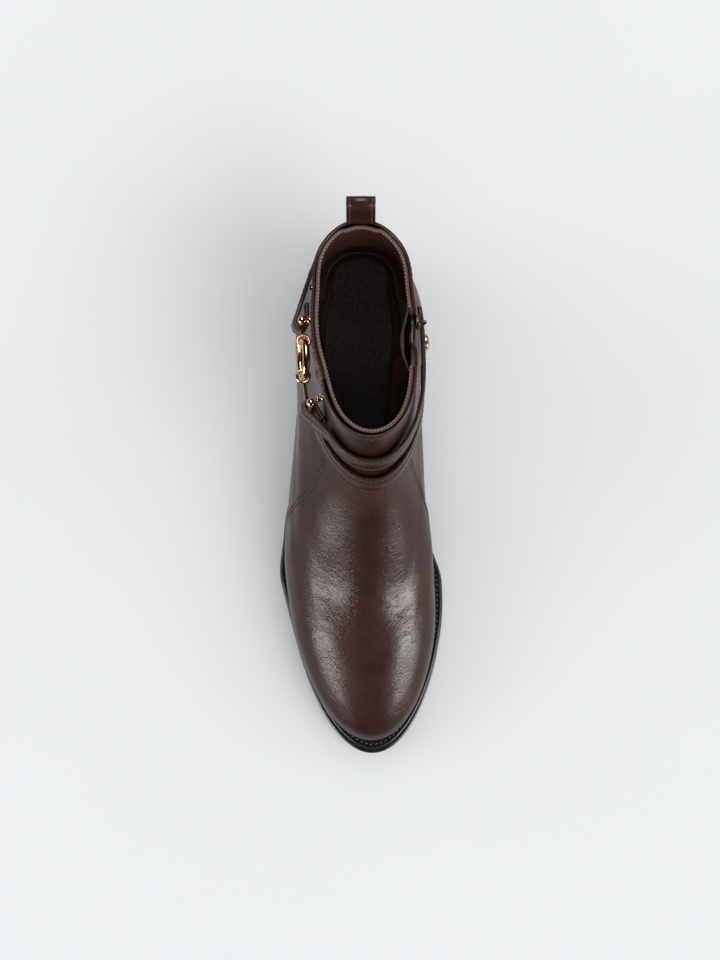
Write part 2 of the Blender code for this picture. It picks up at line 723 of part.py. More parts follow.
def notch_share(v):
    """How far the notch at the top of the zip has opened at height v."""
    return np.clip((v - NOTCH_START) / (1 - NOTCH_START), 0, 1)


def cut_zip_slot(upper):
    """A slot along the zip, with a notch that widens forwards to the collar."""
    v = np.linspace(ZIP_FOOT, 1, SLOT_STEPS)
    rear = zip_turn(v) + (SLOT_HALF + NOTCH_REAR * notch_share(v)) / turn_pace(v)
    front = zip_turn(v) - (SLOT_HALF + NOTCH_FRONT * notch_share(v) ** 2) / turn_pace(v)
    middle = (rear + front) / 2
    rings = []
    for depth_side in (-SLOT_DEPTH, SLOT_DEPTH):
        sides = [upper_point(turn, v) + upper_normal(turn, v) * depth_side for turn in (rear, middle, front)]
        above = [side[-1:] + (0, 0, SLOT_DEPTH) for side in sides]
        rings.append([np.concatenate(pair) for pair in zip(sides, above)])
    loop = rings[0] + rings[1][::-1]
    cutter = folded("zip_slot", np.stack(loop, axis=1), LEATHER)
    move_to(cutter, CUTTERS)
    boolean(upper, cutter, "DIFFERENCE")


def folded(name, rings, material):
    """A solid of rings that are each two rows of points, one running back along the other."""
    count = len(rings[0])
    faces = ring_faces(len(rings), count, False)
    for start in (0, (len(rings) - 1) * count):
        end = start + count - 1
        faces += [(start + i, start + i + 1, end - i - 1, end - i) for i in range(count // 2 - 1)]
    return add_mesh(name, np.concatenate(rings), faces, material)


def turn_pace(v):
    """Millimetres along the surface at the zip for one radian of turn."""
    apart = upper_point(zip_turn(v) + ZIP_TURN_STEP, v) - upper_point(zip_turn(v) - ZIP_TURN_STEP, v)
    return np.linalg.norm(apart, axis=-1) / (2 * ZIP_TURN_STEP)


def add_zip():
    """Tape with its row of teeth, guard behind it, slider at the collar and hanging pull."""
    v = np.linspace(ZIP_TOP, ZIP_END, ZIP_STEPS)
    back = WALL + GAP + TAPE_THICK + TAPE_CLEAR
    centres, across = zip_path(v, -back)
    section = ((-TAPE_HALF, 0), (TAPE_HALF, 0), (TAPE_HALF, TAPE_THICK), (TEETH_HALF, TAPE_THICK),
               (TEETH_HALF, TEETH_RISE), (-TEETH_HALF, TEETH_RISE), (-TEETH_HALF, TAPE_THICK),
               (-TAPE_HALF, TAPE_THICK))
    ribbon("zip_tape", centres, across, [section] * len(v), ZIP_CLOTH)
    add_guard(v, back + 2 * GAP)
    add_slider()


def add_guard(v, depth):
    """The guard behind the zip, bowed inwards, as wide as the notch at the collar."""
    shares = np.linspace(0, 1, 7)
    rings = []
    for height in v:
        front = GUARD_FRONT + GUARD_WIDEN * notch_share(height)
        offsets = GUARD_REAR + (front - GUARD_REAR) * shares
        inset = smooth((GUARD_REAR, TAPE_HALF + 1, front), (depth, depth, GUARD_EDGE_DEPTH), offsets)
        inset = inset + GUARD_BULGE * notch_share(height) * np.sin(math.pi * shares)
        turns = zip_turn(height) - offsets / turn_pace(height)
        points, normals = upper_point(turns, height), upper_normal(turns, height)
        face = points - normals * inset[:, None]
        rings.append(np.concatenate([face, (face - normals * GUARD_THICK)[::-1]]))
    folded("zip_guard", rings, LEATHER)


def slider_frame():
    """The slider's place on the zip, with its directions across, down the zip and out."""
    v = np.array([SLIDER_AT - SLIDER_REACH, SLIDER_AT, SLIDER_AT + SLIDER_REACH])
    line = upper_point(zip_turn(v), v)
    out = upper_normal(zip_turn(v), v)[1]
    down = unit(line[0] - line[2])
    out = unit(out - down * np.dot(out, down))
    return line[1], np.cross(down, out), down, out


def place_on_zip(obj, lift):
    origin, across, down, out = slider_frame()
    turn = Matrix((across, down, out)).transposed()
    obj.matrix_world = Matrix.Translation(to_scene(origin + out * lift)) @ turn.to_4x4()


def add_slider():
    """The slider with its bridge, and the pull on the bridge."""
    bpy.ops.mesh.primitive_cube_add(size=1)
    slider = bpy.context.object
    slider.name = "zip_slider"
    slider.data.transform(Matrix.Diagonal((*(size * MM for size in SLIDER_SIZE), 1)))
    slider.data.materials.append(DARK_METAL)
    move_to(slider, PARTS)
    bevel = slider.modifiers.new("edges", "BEVEL")
    bevel.width = SLIDER_EDGE * MM
    bevel.segments = 2
    place_on_zip(slider, SLIDER_OUT)
    origin, across, down, out = slider_frame()
    bridge = torus("zip_bridge", origin + out * PIVOT_OUT, across, BRIDGE_RADIUS, BRIDGE_WIRE, DARK_METAL)
    move_to(bridge, CUTTERS)
    boolean(slider, bridge, "UNION")
    add_pull()


def add_pull():
    """The pull tab: a flat outline with an eye, its origin on the axis that it flips about."""
    half_bar = PULL_THICK / 2
    neck, neck_end = PULL_NECK
    tip, tip_length = PULL_TIP
    eye_half, eye_end = PULL_EYE
    side = [(neck, -half_bar), (neck, neck_end), (PULL_HALF, PULL_SHOULDER),
            (PULL_HALF, PULL_LENGTH - tip_length), (tip, PULL_LENGTH)]
    outer = side + [(-x, y) for x, y in reversed(side)]
    eye = [(-eye_half, half_bar), (eye_half, half_bar), (eye_half, eye_end), (-eye_half, eye_end)]
    curve = bpy.data.curves.new("zip_pull", "CURVE")
    curve.dimensions = "2D"
    curve.fill_mode = "BOTH"
    curve.extrude = half_bar * MM
    for outline in (outer, eye):
        spline = curve.splines.new("POLY")
        spline.points.add(len(outline) - 1)
        for point, (x, y) in zip(spline.points, outline):
            point.co = (x * MM, y * MM, 0, 1)
        spline.use_cyclic_u = True
    curve.materials.append(DARK_METAL)
    pull = bpy.data.objects.new("zip_pull", curve)
    PARTS.objects.link(pull)
    place_on_zip(pull, PIVOT_OUT)


def turn_at(s, v, side):
    """The turn alpha of a place s along the level at v, on the lateral (1) or medial (-1) side."""
    row = level_values(v)
    turn = np.arccos(1 - 2 * (s - row["back_s"]) / (row["front_s"] - row["back_s"]))
    return turn if side > 0 else 2 * math.pi - turn


def add_closing_tab():
    """A short tab with a round tip, in line with the end of the upper strap, and its snap."""
    row = dict(zip(STRAP_COLUMNS, UPPER_STRAP))
    level = level_values(row["medial_v"])
    front_s = float(level["back_s"] + (level["front_s"] - level["back_s"]) * row["medial_end"]) - GAP
    half = STRAP_WIDTH / 2
    from_tip = np.append(TAB_STATIONS, front_s - TAB_TIP_S)
    s = TAB_TIP_S + from_tip
    heights = np.interp(s, (TAB_TIP_S, front_s), (TAB_TIP_HEIGHT, row["medial_v"]))
    centres, across = shaft_path(turn_at(s, heights, -1), heights, np.full(len(s), TAB_LIFT), 0)
    inside = np.clip(half - from_tip, 0, half)
    profiles = [strap_profile(2 * width, STRAP_THICK) for width in np.sqrt(half ** 2 - inside ** 2)]
    ribbon("closing_tab", centres, across, profiles, LEATHER)
    height = float(np.interp(SNAP_S, s, heights))
    place = turn_at(SNAP_S, height, -1)
    normal = upper_normal(place, height)
    base = upper_point(place, height) + normal * (TAB_LIFT + STRAP_THICK + GAP)
    turned("snap_cap", ((0.0, 0.0), *SNAP_PROFILE), base, normal, GOLD)


def add_stud(name, place, profile):
    s, v = place
    turn = turn_at(s, v, 1)
    normal = upper_normal(turn, v)
    ends = ((0.0, profile[0][1]), *profile)
    if profile[-1][0] > 0:
        ends += ((0.0, profile[-1][1]),)
    turned(name, ends, upper_point(turn, v) + normal * GAP, normal, GOLD)


def add_pull_loop():
    middle = UPPER_LEVELS[-1][LEVEL_COLUMNS.index("c_back")]
    centres = np.array([at((s, middle, z)) for s, z in PULL_LOOP])
    across = np.tile((-1.0, 0.0, 0.0), (len(centres), 1))
    profile = strap_profile(LOOP_WIDTH, LOOP_THICK)
    ribbon("pull_loop", centres, across, [profile] * len(centres), LEATHER)


def clear_scene():
    for obj in list(bpy.data.objects):
        bpy.data.objects.remove(obj, do_unlink=True)


clear_scene()
PARTS = bpy.data.collections.new("strap_ankle_boot")
CUTTERS = bpy.data.collections.new("cutters")
bpy.context.scene.collection.children.link(PARTS)
bpy.context.scene.collection.children.link(CUTTERS)
LEATHER = make_material("brown_leather", (0.045, 0.020, 0.014), 0.38)
RUBBER = make_material("black_rubber", (0.010, 0.009, 0.009), 0.55)
FOOTBED = make_material("black_footbed", (0.012, 0.011, 0.010), 0.7)
GOLD = make_material("gold_metal", (0.78, 0.52, 0.24), 0.18, 1.0)
DARK_METAL = make_material("dark_metal", (0.05, 0.035, 0.03), 0.3, 1.0)
ZIP_CLOTH = make_material("zip_cloth", (0.02, 0.012, 0.01), 0.8)

upper = add_upper()
add_outsole()
add_welt()
add_insole()
add_heel()
upper_strap, rear_strap = add_straps()
rod_hole(upper_strap, *add_bar("front_bar", FRONT_BAR, 1))
rod_hole(rear_strap, *add_bar("rear_bar", REAR_BAR, -1))
add_ring()
cut_zip_slot(upper)
add_zip()
add_closing_tab()
add_stud("front_stud", FRONT_STUD, STUD_PROFILE)
add_stud("rear_stud", REAR_STUD, REAR_STUD_PROFILE)
add_stud("strap_post", STRAP_POST, POST_PROFILE)
add_pull_loop()
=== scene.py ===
"""Looks of the strap ankle boot: leather, lining, stitching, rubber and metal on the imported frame.

Sizes are in millimetres, and turned into metres when a mesh is made. Along the foot, s runs from the
back of the boot (0) to the toe. A place on the upper is a turn (0 at the back, pi at the front, lateral
side between) and a height share v (0 at the feather line, 1 at the collar).
"""

import math

import bmesh
import bpy
import numpy as np
from mathutils import Matrix, Vector


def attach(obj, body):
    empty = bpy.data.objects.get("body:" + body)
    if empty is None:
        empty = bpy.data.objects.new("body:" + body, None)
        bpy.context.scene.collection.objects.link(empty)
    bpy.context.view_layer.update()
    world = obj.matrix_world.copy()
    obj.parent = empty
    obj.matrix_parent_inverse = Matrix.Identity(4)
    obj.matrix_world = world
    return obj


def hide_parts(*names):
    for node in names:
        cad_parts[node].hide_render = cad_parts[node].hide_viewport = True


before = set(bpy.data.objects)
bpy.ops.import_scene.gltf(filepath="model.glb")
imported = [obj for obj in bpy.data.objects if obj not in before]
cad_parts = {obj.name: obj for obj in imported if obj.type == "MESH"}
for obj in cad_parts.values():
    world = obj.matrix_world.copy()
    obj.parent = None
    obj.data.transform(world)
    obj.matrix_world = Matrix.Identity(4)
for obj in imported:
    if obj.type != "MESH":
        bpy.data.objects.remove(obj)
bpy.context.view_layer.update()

MM = 0.001
GAP = 0.3

# Driving sizes of the sole, as in the part
HEEL_CENTRE = 28.0
SOLE_LENGTH = 262.9
HEEL_RISE = 36.0
SEAT_FRONT = 40.0
SEAT_PITCH = 0.03
BALL_BACK = 150.0
BALL_FRONT = 190.0
TOE_SPRING = 8.0
OUTSOLE_THICK = 5.0
WELT_THICK = 3.4
INSOLE_RISE = 3.0
HEEL_BREAST = 57.0
TOP_LIFT_THICK = 6.0
HEEL_TAPER = 0.13
HEEL_INSET = 1.2
TOE_LIP = 2.6
SIDE_LIP = 0.6

# Driving sizes of the upper, as in the part
WALL = 2.0
VAMP_LAP = 1.0
LAP_TURN = 0.012
MEDIAL_LAP_END = 7.4
LAP_FADE = 1.3


def toe_share(s):
    """0 up to the front of the ball, and 1 at the toe."""
    return np.clip((s - BALL_FRONT) / (SOLE_LENGTH - BALL_FRONT), 0, 1)


def sole_bottom(s):
    """Height of the tread: flat under the ball, sprung at the toe and raised to the heel seat."""
    waist = np.clip((BALL_BACK - s) / (BALL_BACK - SEAT_FRONT), 0, 1)
    seat = np.clip(SEAT_FRONT - s, 0, None) * SEAT_PITCH
    return HEEL_RISE * waist ** 2 * (3 - 2 * waist) + TOE_SPRING * toe_share(s) ** 2 + seat


def welt_bottom(s):
    return sole_bottom(s) + OUTSOLE_THICK + GAP


def feather(s):
    """Height of the line where the upper meets the welt."""
    return welt_bottom(s) + WELT_THICK + GAP


def footbed(s):
    return feather(s) + INSOLE_RISE


WIDTH_STATIONS = (0.0, 0.12, 0.35, 0.56, 0.66, 1.0)
CENTRE_STATIONS = (0.0, 0.5, 0.75, 1.0)
LEVEL_COLUMNS = ("front_s", "front_z", "back_s", "back_z", "sag",
                 "w_back", "w_heel", "w_waist", "w_arch", "w_ball", "w_toe",
                 "c_back", "c_mid", "c_fore", "c_front")
FEATHER_FRONT, FEATHER_BACK = 252.3, 3.5
UPPER_LEVELS = (
    (FEATHER_FRONT, float(feather(FEATHER_FRONT)), FEATHER_BACK, float(feather(FEATHER_BACK)), 1.0,
     56, 41.5, 28.0, 34.0, 39.2, 44.6, 0.7, -3.0, 1.9, 6.3),
    (254.0, 23.0, 1.2, 51.0, 0.86, 58, 44.5, 30.6, 36.0, 40.4, 46.4, 0.7, -2.4, 1.8, 6.0),
    (251.6, 29.5, 0.2, 57.5, 0.70, 58, 46.5, 32.2, 35.8, 39.8, 45.0, 0.7, -2.2, 1.9, 5.9),
    (243.0, 35.5, 0.0, 64.5, 0.50, 56, 46.5, 32.8, 34.8, 37.8, 40.6, 0.7, -1.0, 2.0, 5.7),
    (226.0, 41.5, 0.3, 72.0, 0.30, 53, 45.0, 32.1, 32.4, 33.6, 34.7, 0.7, -0.2, 2.0, 5.4),
    (195.0, 51.0, 1.2, 81.0, 0.12, 50, 43.0, 31.0, 30.4, 29.9, 28.5, 0.6, -0.3, 1.8, 5.2),
    (157.0, 67.5, 2.5, 92.0, 0.03, 47, 38.5, 28.6, 28.0, 27.8, 26.5, 0.5, 0.0, 2.2, 5.4),
    (127.5, 89.5, 3.2, 105.0, 0.0, 44, 34.5, 26.8, 26.4, 26.2, 24.5, 0.4, 1.2, 3.4, 5.8),
    (111.5, 113.0, 1.8, 119.0, 0.0, 38, 32.0, 25.5, 25.2, 25.2, 25.5, 0.4, 1.9, 4.2, 5.8),
    (103.8, 132.0, -0.8, 134.0, 0.0, 34, 30.8, 25.2, 24.8, 24.8, 27.0, 0.4, 2.0, 4.4, 5.7),
    (99.0, 150.0, -3.2, 150.0, 0.0, 31, 30.0, 25.3, 24.9, 24.8, 29.5, 0.4, 1.9, 4.4, 5.6),
)
TOP_LEVEL = len(UPPER_LEVELS) - 1
OUTSOLE_PLAN = (SOLE_LENGTH, 0, 2.2, 0, 0, 57, 43.0, 28.8, 38.0, 44.8, 46.0, 0.7, -3.4, 3.6, 6.5)
LATERAL_SEAM = (0.566, 0.552, 0.543, 0.547, 0.567, 0.635, 0.735, 0.79, 0.785, 0.755, 0.737)
MEDIAL_SEAM = (0.586, 0.570, 0.561, 0.561, 0.572, 0.612, 0.715, 0.80, 0.82, 0.80, 0.78)


def smooth(stations, values, x):
    """Monotone cubic through values at stations. values may hold an array for each station."""
    stations = np.asarray(stations, float)
    x = np.asarray(x, float)
    values = np.array([np.broadcast_to(np.asarray(v, float), x.shape) for v in values])
    gaps = np.diff(stations).reshape((-1,) + (1,) * x.ndim)
    slopes = np.diff(values, axis=0) / gaps
    product = slopes[:-1] * slopes[1:]
    total = slopes[:-1] + slopes[1:]
    inner = np.where(product > 0, 2 * product / np.where(product > 0, total, 1.0), 0.0)
    tangents = np.concatenate([slopes[:1], inner, slopes[-1:]])
    k = np.clip(np.searchsorted(stations, x, side="right") - 1, 0, len(stations) - 2)
    step = np.diff(stations)[k]
    q = (x - stations[k]) / step
    low, high = pick(values, k), pick(values, k + 1)
    rise_low, rise_high = pick(tangents, k) * step, pick(tangents, k + 1) * step
    blend = q * q * (3 - 2 * q)
    return low + (high - low) * blend + rise_low * q * (1 - q) ** 2 - rise_high * q * q * (1 - q)


def pick(rows, index):
    return np.take_along_axis(rows, index[None], axis=0)[0]


def level_values(v):
    """The level table read at height share v, as a dict of arrays."""
    table = np.array(UPPER_LEVELS, float)
    place = np.asarray(v, float) * TOP_LEVEL
    return {name: smooth(range(TOP_LEVEL + 1), table[:, i], place) for i, name in enumerate(LEVEL_COLUMNS)}


def plan_point(row, turn):
    """(s, x) at a turn of a level, and the share of its length."""
    share = (1 - np.cos(turn)) / 2
    s = row["back_s"] + (row["front_s"] - row["back_s"]) * share
    half = smooth(WIDTH_STATIONS, [row[n] for n in LEVEL_COLUMNS[5:11]], share)
    centre = smooth(CENTRE_STATIONS, [row[n] for n in LEVEL_COLUMNS[11:]], share)
    return s, centre - half * np.sin(turn), share


def upper_point(turn, v):
    """The upper's outer surface without the lap of the vamp, as an array (..., 3)."""
    turn = np.asarray(turn, float)
    row = level_values(v)
    s, x, share = plan_point(row, turn)
    chord = feather(row["back_s"]) + (feather(row["front_s"]) - feather(row["back_s"])) * share
    z = row["back_z"] + (row["front_z"] - row["back_z"]) * share + row["sag"] * (feather(s) - chord)
    return np.stack([x, HEEL_CENTRE - s, z], axis=-1)


def unit(vectors):
    vectors = np.asarray(vectors, float)
    return vectors / np.linalg.norm(vectors, axis=-1, keepdims=True)


def upper_normal(turn, v):
    """Unit outward normal of the upper's surface."""
    step, climb = 0.01, 0.004
    v = np.asarray(v, float)
    low, high = np.clip(v - climb, 0, 1), np.clip(v + climb, 0, 1)
    along = upper_point(turn + step, v) - upper_point(turn - step, v)
    up = upper_point(turn, high) - upper_point(turn, low)
    return unit(np.cross(along, up))


def surface(turn, v):
    """A place on the upper's surface, and its normal."""
    return upper_point(turn, v), upper_normal(turn, v)


def level_out(normal):
    """A normal turned level, for the edges at the feather line and the collar."""
    return unit(normal * (1, 1, 0))


def share_turn(share):
    """The turn at a share of a level's length, on the lateral side."""
    return np.arccos(1 - 2 * share)


def seam_turn(shares, v):
    """The turn of a vamp seam at height share v, on the lateral side."""
    return share_turn(smooth(range(len(shares)), shares, np.asarray(v, float) * TOP_LEVEL))


def turn_at(s, v, side):
    """The turn of a place s along the level at v, on the lateral (1) or medial (-1) side."""
    row = level_values(v)
    turn = share_turn((s - row["back_s"]) / (row["front_s"] - row["back_s"]))
    return turn if side > 0 else 2 * math.pi - turn


# Zip: its line down the medial side as shares of levels 5 to 10, with a slot that opens at the collar
ZIP_LEVELS = (5, 6, 7, 8, 9, 10)
ZIP_SHARES = (0.314, 0.379, 0.449, 0.48, 0.472, 0.442)
ZIP_FOOT = 0.56
SLOT_HALF = 3.4
NOTCH_START = 0.82
NOTCH_REAR = 0.3
NOTCH_FRONT = 21.0


def zip_turn(v):
    place = np.clip(np.asarray(v, float) * TOP_LEVEL, ZIP_LEVELS[0], ZIP_LEVELS[-1])
    return 2 * math.pi - share_turn(smooth(ZIP_LEVELS, ZIP_SHARES, place))


def round_turns(count):
    """Even angles once round."""
    return np.linspace(0, 2 * math.pi, count, endpoint=False)


def turn_pace(turn, v):
    """Millimetres along the surface for one radian of turn."""
    step = 0.02
    apart = upper_point(turn + step, v) - upper_point(turn - step, v)
    return np.linalg.norm(apart, axis=-1) / (2 * step)


def up_to_collar(v, start):
    """0 up to a height share start, and 1 at the collar."""
    return np.clip((v - start) / (1 - start), 0, 1)


def slot_turns(v):
    """Turns of the zip slot's front and rear edge."""
    turn = zip_turn(v)
    pace = turn_pace(turn, v)
    opened = up_to_collar(v, NOTCH_START)
    front = turn - (SLOT_HALF + NOTCH_FRONT * opened ** 2) / pace
    rear = turn + (SLOT_HALF + NOTCH_REAR * opened) / pace
    return front, rear


# Meshes


def grid_faces(rows, columns, wrap=True, keep=None):
    """Quads of a grid of points, row after row. keep marks the cells that stay."""
    cells = columns if wrap else columns - 1
    r, c = np.meshgrid(np.arange(rows - 1), np.arange(cells), indexing="ij")
    if keep is not None:
        r, c = r[keep], c[keep]
    r, c = r.ravel(), c.ravel()
    after = (c + 1) % columns
    return np.stack([r * columns + c, r * columns + after,
                     (r + 1) * columns + after, (r + 1) * columns + c], axis=1)


SHARP_ANGLE = math.radians(50)


def add_piece(name, verts, faces, materials, node=None, body="boot", index=None):
    """A mesh piece in the frame, smooth but for its sharp edges."""
    mesh = bpy.data.meshes.new(name)
    faces = faces.tolist() if isinstance(faces, np.ndarray) else faces
    mesh.from_pydata((np.asarray(verts, float) * MM).tolist(), [], faces)
    for material in materials:
        mesh.materials.append(material)
    if index is not None:
        mesh.polygons.foreach_set("material_index", np.asarray(index, np.int32))
    mesh.update()
    mesh.shade_smooth()
    mesh.set_sharp_from_angle(angle=SHARP_ANGLE)
    return settle(add_object(name, mesh), node, body)


def add_object(name, data):
    obj = bpy.data.objects.new(name, data)
    bpy.context.scene.collection.objects.link(obj)
    return obj


def settle(obj, node, body):
    """Rides a piece on its body, and hides the parts of the frame that it stands for."""
    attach(obj, body)
    if node:
        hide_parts(*([node] if isinstance(node, str) else node))
    return obj


# Materials


class Nodes:
    """A material's nodes, with short calls to add and join them."""

    def __init__(self, name, **values):
        self.material = bpy.data.materials.new(name)
        self.material.use_nodes = True
        self.tree = self.material.node_tree
        self.shader = self.tree.nodes["Principled BSDF"]
        for socket, value in values.items():
            self.join(socket.replace("_", " "), value)
        self.place = self.add("ShaderNodeTexCoord").outputs["Object"]

    def add(self, kind, settings=(), **values):
        node = self.tree.nodes.new(kind)
        for name, value in dict(settings).items():
            setattr(node, name, value)
        for name, value in values.items():
            self.feed(node.inputs[name.replace("_", " ")], value)
        return node

    def feed(self, socket, value):
        """Joins a socket to another one, or sets its value."""
        if isinstance(value, bpy.types.NodeSocket):
            self.tree.links.new(value, socket)
        else:
            socket.default_value = value

    def noise(self, scale, detail=3.0, roughness=0.55, place=None):
        node = self.add("ShaderNodeTexNoise", Vector=place or self.place, Scale=scale, Detail=detail,
                        Roughness=roughness)
        return node.outputs["Fac"]

    def cells(self, scale, place=None, feature="F1"):
        node = self.add("ShaderNodeTexVoronoi", {"feature": feature}, Vector=place or self.place, Scale=scale)
        return node.outputs["Distance"]

    def remap(self, value, low, high, to_low=0.0, to_high=1.0):
        node = self.add("ShaderNodeMapRange", Value=value, From_Min=low, From_Max=high, To_Min=to_low,
                        To_Max=to_high)
        return node.outputs["Result"]

    def math(self, operation, *values):
        node = self.add("ShaderNodeMath", {"operation": operation})
        for socket, value in zip(node.inputs, values):
            self.feed(socket, value)
        return node.outputs["Value"]

    def attribute(self, name):
        return self.add("ShaderNodeAttribute", {"attribute_name": name}).outputs["Fac"]

    def mix(self, share, first, second):
        node = self.add("ShaderNodeMix", {"data_type": "RGBA"})
        for socket, value in zip((node.inputs[0], node.inputs[6], node.inputs[7]), (share, first, second)):
            self.feed(socket, (*value, 1.0) if isinstance(value, tuple) else value)
        return node.outputs[2]

    def mapped(self, place, **values):
        return self.add("ShaderNodeMapping", Vector=place, **values).outputs["Vector"]

    def bump(self, height, distance, strength=1.0, under=None):
        values = {"Height": height, "Distance": distance * MM, "Strength": strength}
        if under is not None:
            values["Normal"] = under
        return self.add("ShaderNodeBump", **values).outputs["Normal"]

    def join(self, socket, value):
        self.feed(self.shader.inputs[socket], value)

    def finished(self, colour, normal, rough):
        """The material, with its colour, bump and roughness joined."""
        self.join("Base Color", colour)
        self.join("Roughness", rough)
        self.join("Normal", normal)
        return self.material


WRINKLE_MIDDLE = 0.004
# Wrinkles of the flexed leather: slant (degrees), how often they repeat along and across (1/m),
# width of a line, depth
WRINKLE_SETS = ((32, 80.0, 330.0, 0.05, 0.7), (22, 190.0, 640.0, 0.12, 0.45), (-38, 260.0, 600.0, 0.1, 0.3))
WRINKLE_WAVE = 0.006


def wrinkles(n):
    """Short fine lines that run outwards and back on either side of the vamp, as a depth."""
    split = n.add("ShaderNodeSeparateXYZ", Vector=n.place)
    outward = n.math("ABSOLUTE", n.math("SUBTRACT", split.outputs["X"], WRINKLE_MIDDLE))
    wave = n.math("MULTIPLY", n.math("SUBTRACT", n.noise(110.0, 2.0), 0.5), WRINKLE_WAVE)
    shifted = n.math("ADD", split.outputs["Y"], wave)
    side = n.add("ShaderNodeCombineXYZ", X=outward, Y=shifted, Z=split.outputs["Z"])
    depth = 0.0
    for slant, along, across, width, share in WRINKLE_SETS:
        slanted = n.mapped(side.outputs["Vector"], Rotation=(0.0, 0.0, -math.radians(slant)))
        field = n.noise(1.0, 2.0, 0.5, n.mapped(slanted, Scale=(along, across, along)))
        line = n.remap(n.math("ABSOLUTE", n.math("SUBTRACT", field, 0.5)), 0.0, width, 1.0, 0.0)
        broken = n.remap(n.noise(along * 1.3, 1.0), 0.4, 0.6)
        depth = n.math("ADD", depth, n.math("MULTIPLY", n.math("MULTIPLY", line, broken), share))
    return depth


def leather_material(name, tone, deep, roughness, coat, flex=False):
    """Smooth brown leather: soft blotches, fine grain, and fine wrinkles where the boot flexes, with painted
    shade in the wrinkles.
    """
    n = Nodes(name, Coat_Weight=coat, Coat_Roughness=0.2, Specular_IOR_Level=0.27)
    blotch = n.remap(n.noise(38.0, 4.0), 0.36, 0.64)
    fleck = n.remap(n.noise(420.0, 2.0), 0.35, 0.7)
    colour = n.mix(blotch, deep, tone)
    colour = n.mix(n.math("MULTIPLY", fleck, 0.3), colour, deep)
    grain = n.math("ADD", n.cells(1100.0), n.math("MULTIPLY", n.noise(2300.0, 2.0), 0.6))
    normal = n.bump(grain, 0.04, 0.35)
    rough = n.remap(n.noise(110.0, 4.0), 0.3, 0.7, roughness - 0.04, roughness + 0.06)
    if flex:
        lines = n.math("MULTIPLY", wrinkles(n), n.attribute("flex"))
        normal = n.bump(n.math("MULTIPLY", lines, -1.0), 0.1, 1.0, normal)
        # The wrinkle lines are also darkened towards the deep tone: painted shade in the creases.
        colour = n.mix(n.math("MULTIPLY", lines, 0.5), colour, deep)
    return n.finished(colour, normal, rough)


def lining_material(name, tone, deep):
    """Smooth lining leather."""
    n = Nodes(name, Specular_IOR_Level=0.25)
    blotch = n.remap(n.noise(60.0, 5.0), 0.35, 0.65)
    rough = n.remap(n.noise(300.0), 0.3, 0.7, 0.45, 0.6)
    return n.finished(n.mix(blotch, deep, tone), n.bump(n.noise(1500.0, 3.0), 0.08, 0.4), rough)


def raw_edge_material(name, tone, deep, roughness):
    """Cut or painted leather edge: short fibres along it."""
    n = Nodes(name, Specular_IOR_Level=0.35)
    fibre = n.remap(n.noise(900.0, 4.0), 0.3, 0.7)
    rough = n.remap(fibre, 0.0, 1.0, roughness - 0.08, roughness + 0.08)
    return n.finished(n.mix(fibre, deep, tone), n.bump(fibre, 0.1, 0.5), rough)


def rubber_material(name, tone, deep, roughness):
    """Moulded black rubber with faint scuffs."""
    n = Nodes(name, Specular_IOR_Level=0.45)
    scuff = n.remap(n.noise(240.0, 5.0, 0.7, n.mapped(n.place, Scale=(1.0, 0.35, 2.4))), 0.45, 0.75)
    rough = n.remap(scuff, 0.0, 1.0, roughness - 0.08, roughness + 0.1)
    return n.finished(n.mix(scuff, deep, tone), n.bump(n.noise(1300.0, 3.0), 0.06, 0.4), rough)


def footbed_material():
    """Black pebbled footbed pad, with painted shade in the hollows between its pebbles."""
    n = Nodes("footbed", Specular_IOR_Level=0.35)
    pebble = n.remap(n.cells(1250.0, None, "SMOOTH_F1"), 0.1, 0.7, 1.0, 0.0)
    # The pebbles' tops are painted lighter and the hollows between them darker: painted shade in the hollows.
    colour = n.mix(pebble, (0.035, 0.025, 0.023), (0.105, 0.078, 0.073))
    return n.finished(colour, n.bump(pebble, 0.2, 0.7), n.remap(pebble, 0.0, 1.0, 0.7, 0.5))


def metal_material(name, tone, roughness):
    """Polished metal with faint wear."""
    n = Nodes(name, Metallic=1.0, Base_Color=(*tone, 1.0))
    n.join("Roughness", n.remap(n.noise(260.0, 4.0), 0.3, 0.7, roughness - 0.05, roughness + 0.08))
    return n.material


def cloth_material(name, tone, deep):
    """Woven tape: fine crossing ribs."""
    n = Nodes(name, Specular_IOR_Level=0.25)
    weave = n.remap(n.cells(1500.0), 0.1, 0.6)
    return n.finished(n.mix(weave, tone, deep), n.bump(weave, 0.15, 0.6), 0.85)


def thread_material(name, tone):
    """Twisted thread."""
    n = Nodes(name, Specular_IOR_Level=0.4)
    strand = n.noise(2400.0, 2.0)
    return n.finished(n.mix(strand, tuple(0.6 * c for c in tone), tone), n.bump(strand, 0.06, 0.5), 0.55)


BROWN, DEEP_BROWN = (0.052, 0.0182, 0.0120), (0.032, 0.0104, 0.0070)
LEATHER = leather_material("upper_leather", BROWN, DEEP_BROWN, 0.33, 0.04, flex=True)
LINING = lining_material("lining_leather", (0.115, 0.048, 0.036), (0.075, 0.030, 0.022))
GRIP = lining_material("heel_grip", (0.040, 0.024, 0.021), (0.026, 0.015, 0.013))
RAW_EDGE = raw_edge_material("raw_edge", (0.13, 0.072, 0.059), (0.065, 0.033, 0.026), 0.6)
STRAP_LEATHER = leather_material("strap_leather", BROWN, DEEP_BROWN, 0.30, 0.06)
PAINTED_EDGE = raw_edge_material("painted_edge", (0.046, 0.018, 0.012), (0.027, 0.010, 0.007), 0.36)
RUBBER = rubber_material("sole_rubber", (0.016, 0.012, 0.012), (0.007, 0.006, 0.006), 0.4)
FOOTBED = footbed_material()
GOLD = metal_material("gold_metal", (0.80, 0.52, 0.29), 0.14)
DARK_METAL = metal_material("dark_metal", (0.075, 0.058, 0.05), 0.32)
